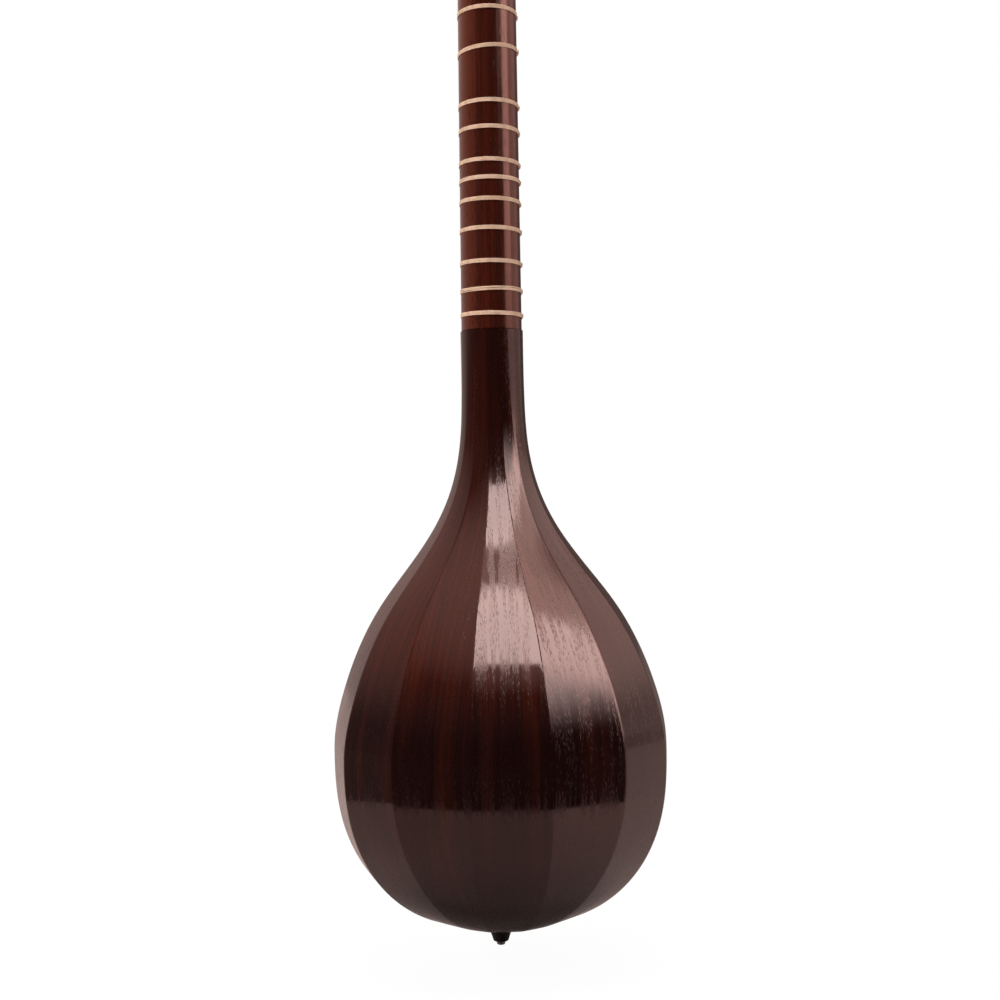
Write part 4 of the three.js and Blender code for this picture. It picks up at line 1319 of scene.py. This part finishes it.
def inner_wood():
    shader = new_material("inner_wood", IOR=1.45)
    sizes = {"Broad_Width": 8 * MM, "Fine_Width": 0.7 * MM, "Length": 80 * MM}
    broad, fine = use_group(FIGURE, grain_vector(shader), **sizes)
    colour = mixed(fine, (0.5, 0.34, 0.19), (0.62, 0.45, 0.27))
    colour = mixed(times(broad, 0.4), colour, (0.4, 0.25, 0.13))
    finished(shader, colour, ramped(fine, 0, 1, 0.7, 0.85), (fine, 0.03 * MM))


def bone():
    shader = new_material("bone", IOR=1.5)
    sizes = {"Broad_Width": 3 * MM, "Fine_Width": 0.25 * MM, "Length": 14 * MM}
    broad, fine = use_group(FIGURE, grain_vector(shader), **sizes)
    colour = mixed(broad, (0.72, 0.62, 0.43), (0.84, 0.77, 0.61))
    colour = mixed(ramped(fine, 0.75, 1, 0, 0.3), colour, (0.5, 0.38, 0.22))
    finished(shader, colour, ramped(fine, 0, 1, 0.25, 0.35), (fine, 0.01 * MM))


def gut():
    """Twisted gut: cream, darker where fingers and dust have been, with painted shade in the grooves of
    its twist.
    """
    shader = new_material("gut", IOR=1.5)
    vector = coordinates(shader.id_data, "Object")
    twist = add_node(
        shader.id_data, "ShaderNodeTexWave", Vector=vector, wave_type="BANDS", bands_direction="DIAGONAL",
        Scale=1.1 / MM, Distortion=1.2, Detail=1, Detail_Scale=1.5,
    ).outputs["Fac"]
    stain = noise_at(vector, Scale=0.35 / MM, Detail=3)
    colour = mixed(ramped(stain, 0.35, 0.7), (0.7, 0.52, 0.39), (0.57, 0.41, 0.28))
    # Painted shade: browner in the low grooves of the twist.
    colour = mixed(ramped(twist, 0, 0.5, 0.35, 0), colour, (0.5, 0.3, 0.18))
    finished(shader, colour, ramped_noise(stain, 0.38, 0.55), (twist, 0.03 * MM))


def wire(name, bright, dull):
    """Drawn wire: bright, with a little tarnish."""
    shader = new_material(name, Metallic=1)
    tarnish = noise_at(coordinates(shader.id_data, "Object"), Scale=0.12 / MM, Detail=4)
    finished(shader, mixed(ramped(tarnish, 0.4, 0.7), bright, dull), ramped_noise(tarnish, 0.18, 0.34))


for make_material in (bowl_lacquer, neck_lacquer, dark_wood, soundboard_wood, inner_wood, bone, gut):
    make_material()
wire("steel", (0.62, 0.61, 0.6), (0.4, 0.39, 0.38))
wire("bronze", (0.78, 0.5, 0.22), (0.5, 0.3, 0.13))

# The pieces

for stave_index in range(STAVES):
    stave_piece(stave_index)
neck_piece()
head_cap_piece()
fingerboard_piece()
nut_piece()
soundboard_piece()
bridge_piece()
knob_piece()
pin_piece()
for peg_name in PEGS:
    peg_piece(peg_name)
fret_draw = random.Random(26)
for fret_index in range(1, sum(name.startswith("fret_") for name in frame["bodies"]) + 1):
    fret_piece(fret_index, fret_draw)
for string_name in STRING_RADII:
    string_piece(string_name)
for inner_node in INNER_NODES:
    paint(frame["nodes"][inner_node], "inner_wood")


# Camera

def make_camera():
    data = bpy.data.cameras.new("photographer")
    data.sensor_width = SENSOR_WIDTH
    data.lens = FOCAL_PIXELS / IMAGE_SIZE * SENSOR_WIDTH
    data.shift_x = 0.5 - PRINCIPAL_POINT[0] / IMAGE_SIZE
    data.shift_y = PRINCIPAL_POINT[1] / IMAGE_SIZE - 0.5
    camera = add_to_scene("photographer", data)
    camera.location = CAMERA_PLACE
    axis_point = Vector((0, 0, CAMERA_PLACE[2]))
    look = (axis_point - Vector(CAMERA_PLACE)).to_track_quat("-Z", "Y")
    camera.rotation_euler = look.to_euler()
    camera.rotation_euler.rotate_axis("Z", CAMERA_ROLL)
    bpy.context.scene.camera = camera


make_camera()


# Floor, lamps and background

def room_walls_group():
    """How bright the room is in a direction, or towards a point seen from the bowl."""
    group, (vector,), result = new_group("room walls", (), ("Brightness",))
    across, back, _ = axes(vector)
    turn = over(maths("ARCTAN2", across, back), math.tau)
    ramp = add_node(group, "ShaderNodeValToRGB", plus(turn, 0.5))
    stops = ramp.color_ramp.elements
    for _ in ROOM_WALLS[2:]:
        stops.new(0.5)
    for stop, (azimuth, brightness) in zip(stops, ROOM_WALLS):
        stop.position = azimuth / 360 + 0.5
        stop.color = (brightness, brightness, brightness, 1)
    fill(result["Brightness"], ramp.outputs[0])
    return group


ROOM = room_walls_group()


def rays(tree):
    """Sockets that tell whether a ray comes from the camera, and whether from something that mirrors."""
    path = add_node(tree, "ShaderNodeLightPath").outputs
    mirrored = maths("MAXIMUM", path["Is Glossy Ray"], path["Is Transmission Ray"])
    return path["Is Camera Ray"], mirrored


def table_colour(away, distance):
    """The pale table top: painted shadow darkens it under the bowl, and painted light makes it paler
    towards the window.
    """
    # Painted shadow: darker within about 0.1 m of the bowl's middle.
    table = mixed(ramped(distance, 0.02, 0.11), TABLE_PAINTED_SHADOW, TABLE_TOP)
    # Painted light: half as bright again on the window's side of the table, a little darker on the other.
    painted_window_light = ramped(axes(away)[0], -0.22, 0.05, 1.5, 0.86)
    grey = add_node(away.id_data, "ShaderNodeCombineColor", painted_window_light, painted_window_light, painted_window_light)
    return mixed(1, table, grey.outputs[0], "MULTIPLY")


def make_floor():
    """White to the camera, with a faint shadow; the lacquer mirrors a round table with painted shade and
    light, and past it a floor that glows as a dim room.
    """
    points = rectangle((-FLOOR_REACH, -FLOOR_REACH), (FLOOR_REACH, FLOOR_REACH), FLOOR_Z)
    floor = make_object("floor", (points, [(0, 1, 2, 3)]), smooth=False)
    shader = new_material("pale_floor", Roughness=0.6)
    tree = shader.id_data
    seen, mirrored = rays(tree)
    middle = (BOWL_MIDDLE.x, BOWL_MIDDLE.y, FLOOR_Z)
    place_on_floor = coordinates(tree, "Object")
    away = add_node(tree, "ShaderNodeVectorMath", place_on_floor, middle, operation="SUBTRACT").outputs[0]
    distance = add_node(tree, "ShaderNodeVectorMath", away, operation="LENGTH").outputs["Value"]
    fill(shader.inputs["Base Color"], mixed(seen, table_colour(away, distance), FLOOR_WHITE))
    past_table = ramped(distance, TABLE_RADIUS, TABLE_END)
    to_camera = ramped(distance, TABLE_RADIUS, SHADOW_END, SHADOW_GLOW, 1)
    share = maths("MAXIMUM", times(to_camera, seen), times(past_table, mirrored))
    # Painted light: past the table the floor glows, for mirrored rays, with the dim room's brightness; to
    # the camera it glows plain white.
    room = maths("MINIMUM", use_group(ROOM, away)[0], WALL_FOOT)
    strength = mixed_number(seen, room, 1)
    glow = add_node(tree, "ShaderNodeEmission", mixed(seen, ROOM_TINT, WHITE), strength)
    blend = add_node(tree, "ShaderNodeMixShader", share, shader.outputs[0], glow.outputs[0])
    fill(tree.nodes["Material Output"].inputs[0], blend.outputs[0])
    floor.data.materials.append(MATERIALS["pale_floor"])


def make_world():
    """White behind the instrument, a soft light on it, and the dim room for what the lacquer mirrors."""
    world = bpy.data.worlds.new("studio")
    bpy.context.scene.world = world
    world.use_nodes = True
    tree = world.node_tree
    direction = coordinates(tree, "Generated")
    height = axes(direction)[2]
    walls = maths("MINIMUM", use_group(ROOM, direction)[0], ramped(height, 0.03, 0.2, WALL_FOOT, WALL_TOP))
    for fade in WALL_FADES:
        walls = times(walls, ramped(height, *fade))
    room = walls
    for glow in CEILING_GLOWS:
        room = plus(room, ramped(height, *glow))
    seen, mirrored = rays(tree)
    background = tree.nodes["Background"]
    fill(background.inputs["Color"], mixed(mirrored, WHITE, ROOM_TINT))
    plain = mixed_number(seen, SOFT_LIGHT, 1)
    fill(background.inputs["Strength"], mixed_number(mirrored, plain, room))


def panel_lamp(name, place_from_bowl, facing, size, radiance):
    """A rectangular lamp at a place from the bowl's middle; its size runs across and then up or back."""
    data = bpy.data.lights.new(name, "AREA")
    data.shape = "RECTANGLE"
    data.size, data.size_y = size
    data.energy = radiance * math.pi * size[0] * size[1]
    data.color = LAMPLIGHT
    lamp = add_to_scene(name, data)
    lamp.location = BOWL_MIDDLE + Vector(place_from_bowl)
    lamp.rotation_euler = Vector(facing).to_track_quat("-Z", "Y").to_euler()
    lamp.visible_glossy = name in MIRRORED_LAMPS
    lamp.visible_camera = False
    return lamp


def fade_downwards(lamp, share):
    """Dims a lamp towards its lower edge, from full at a share of its height."""
    lamp.data.use_nodes = True
    tree = lamp.data.node_tree
    place_on_lamp = add_node(tree, "ShaderNodeNewGeometry").outputs["Parametric"]
    fill(tree.nodes["Emission"].inputs["Strength"], ramped(axes(place_on_lamp)[1], 0, share))


make_floor()
make_world()
panel_lamps = {name: panel_lamp(name, *values) for name, values in LAMPS.items()}
fade_downwards(panel_lamps["side_window"], WINDOW_FADE)

bpy.context.scene.view_settings.view_transform = "Standard"
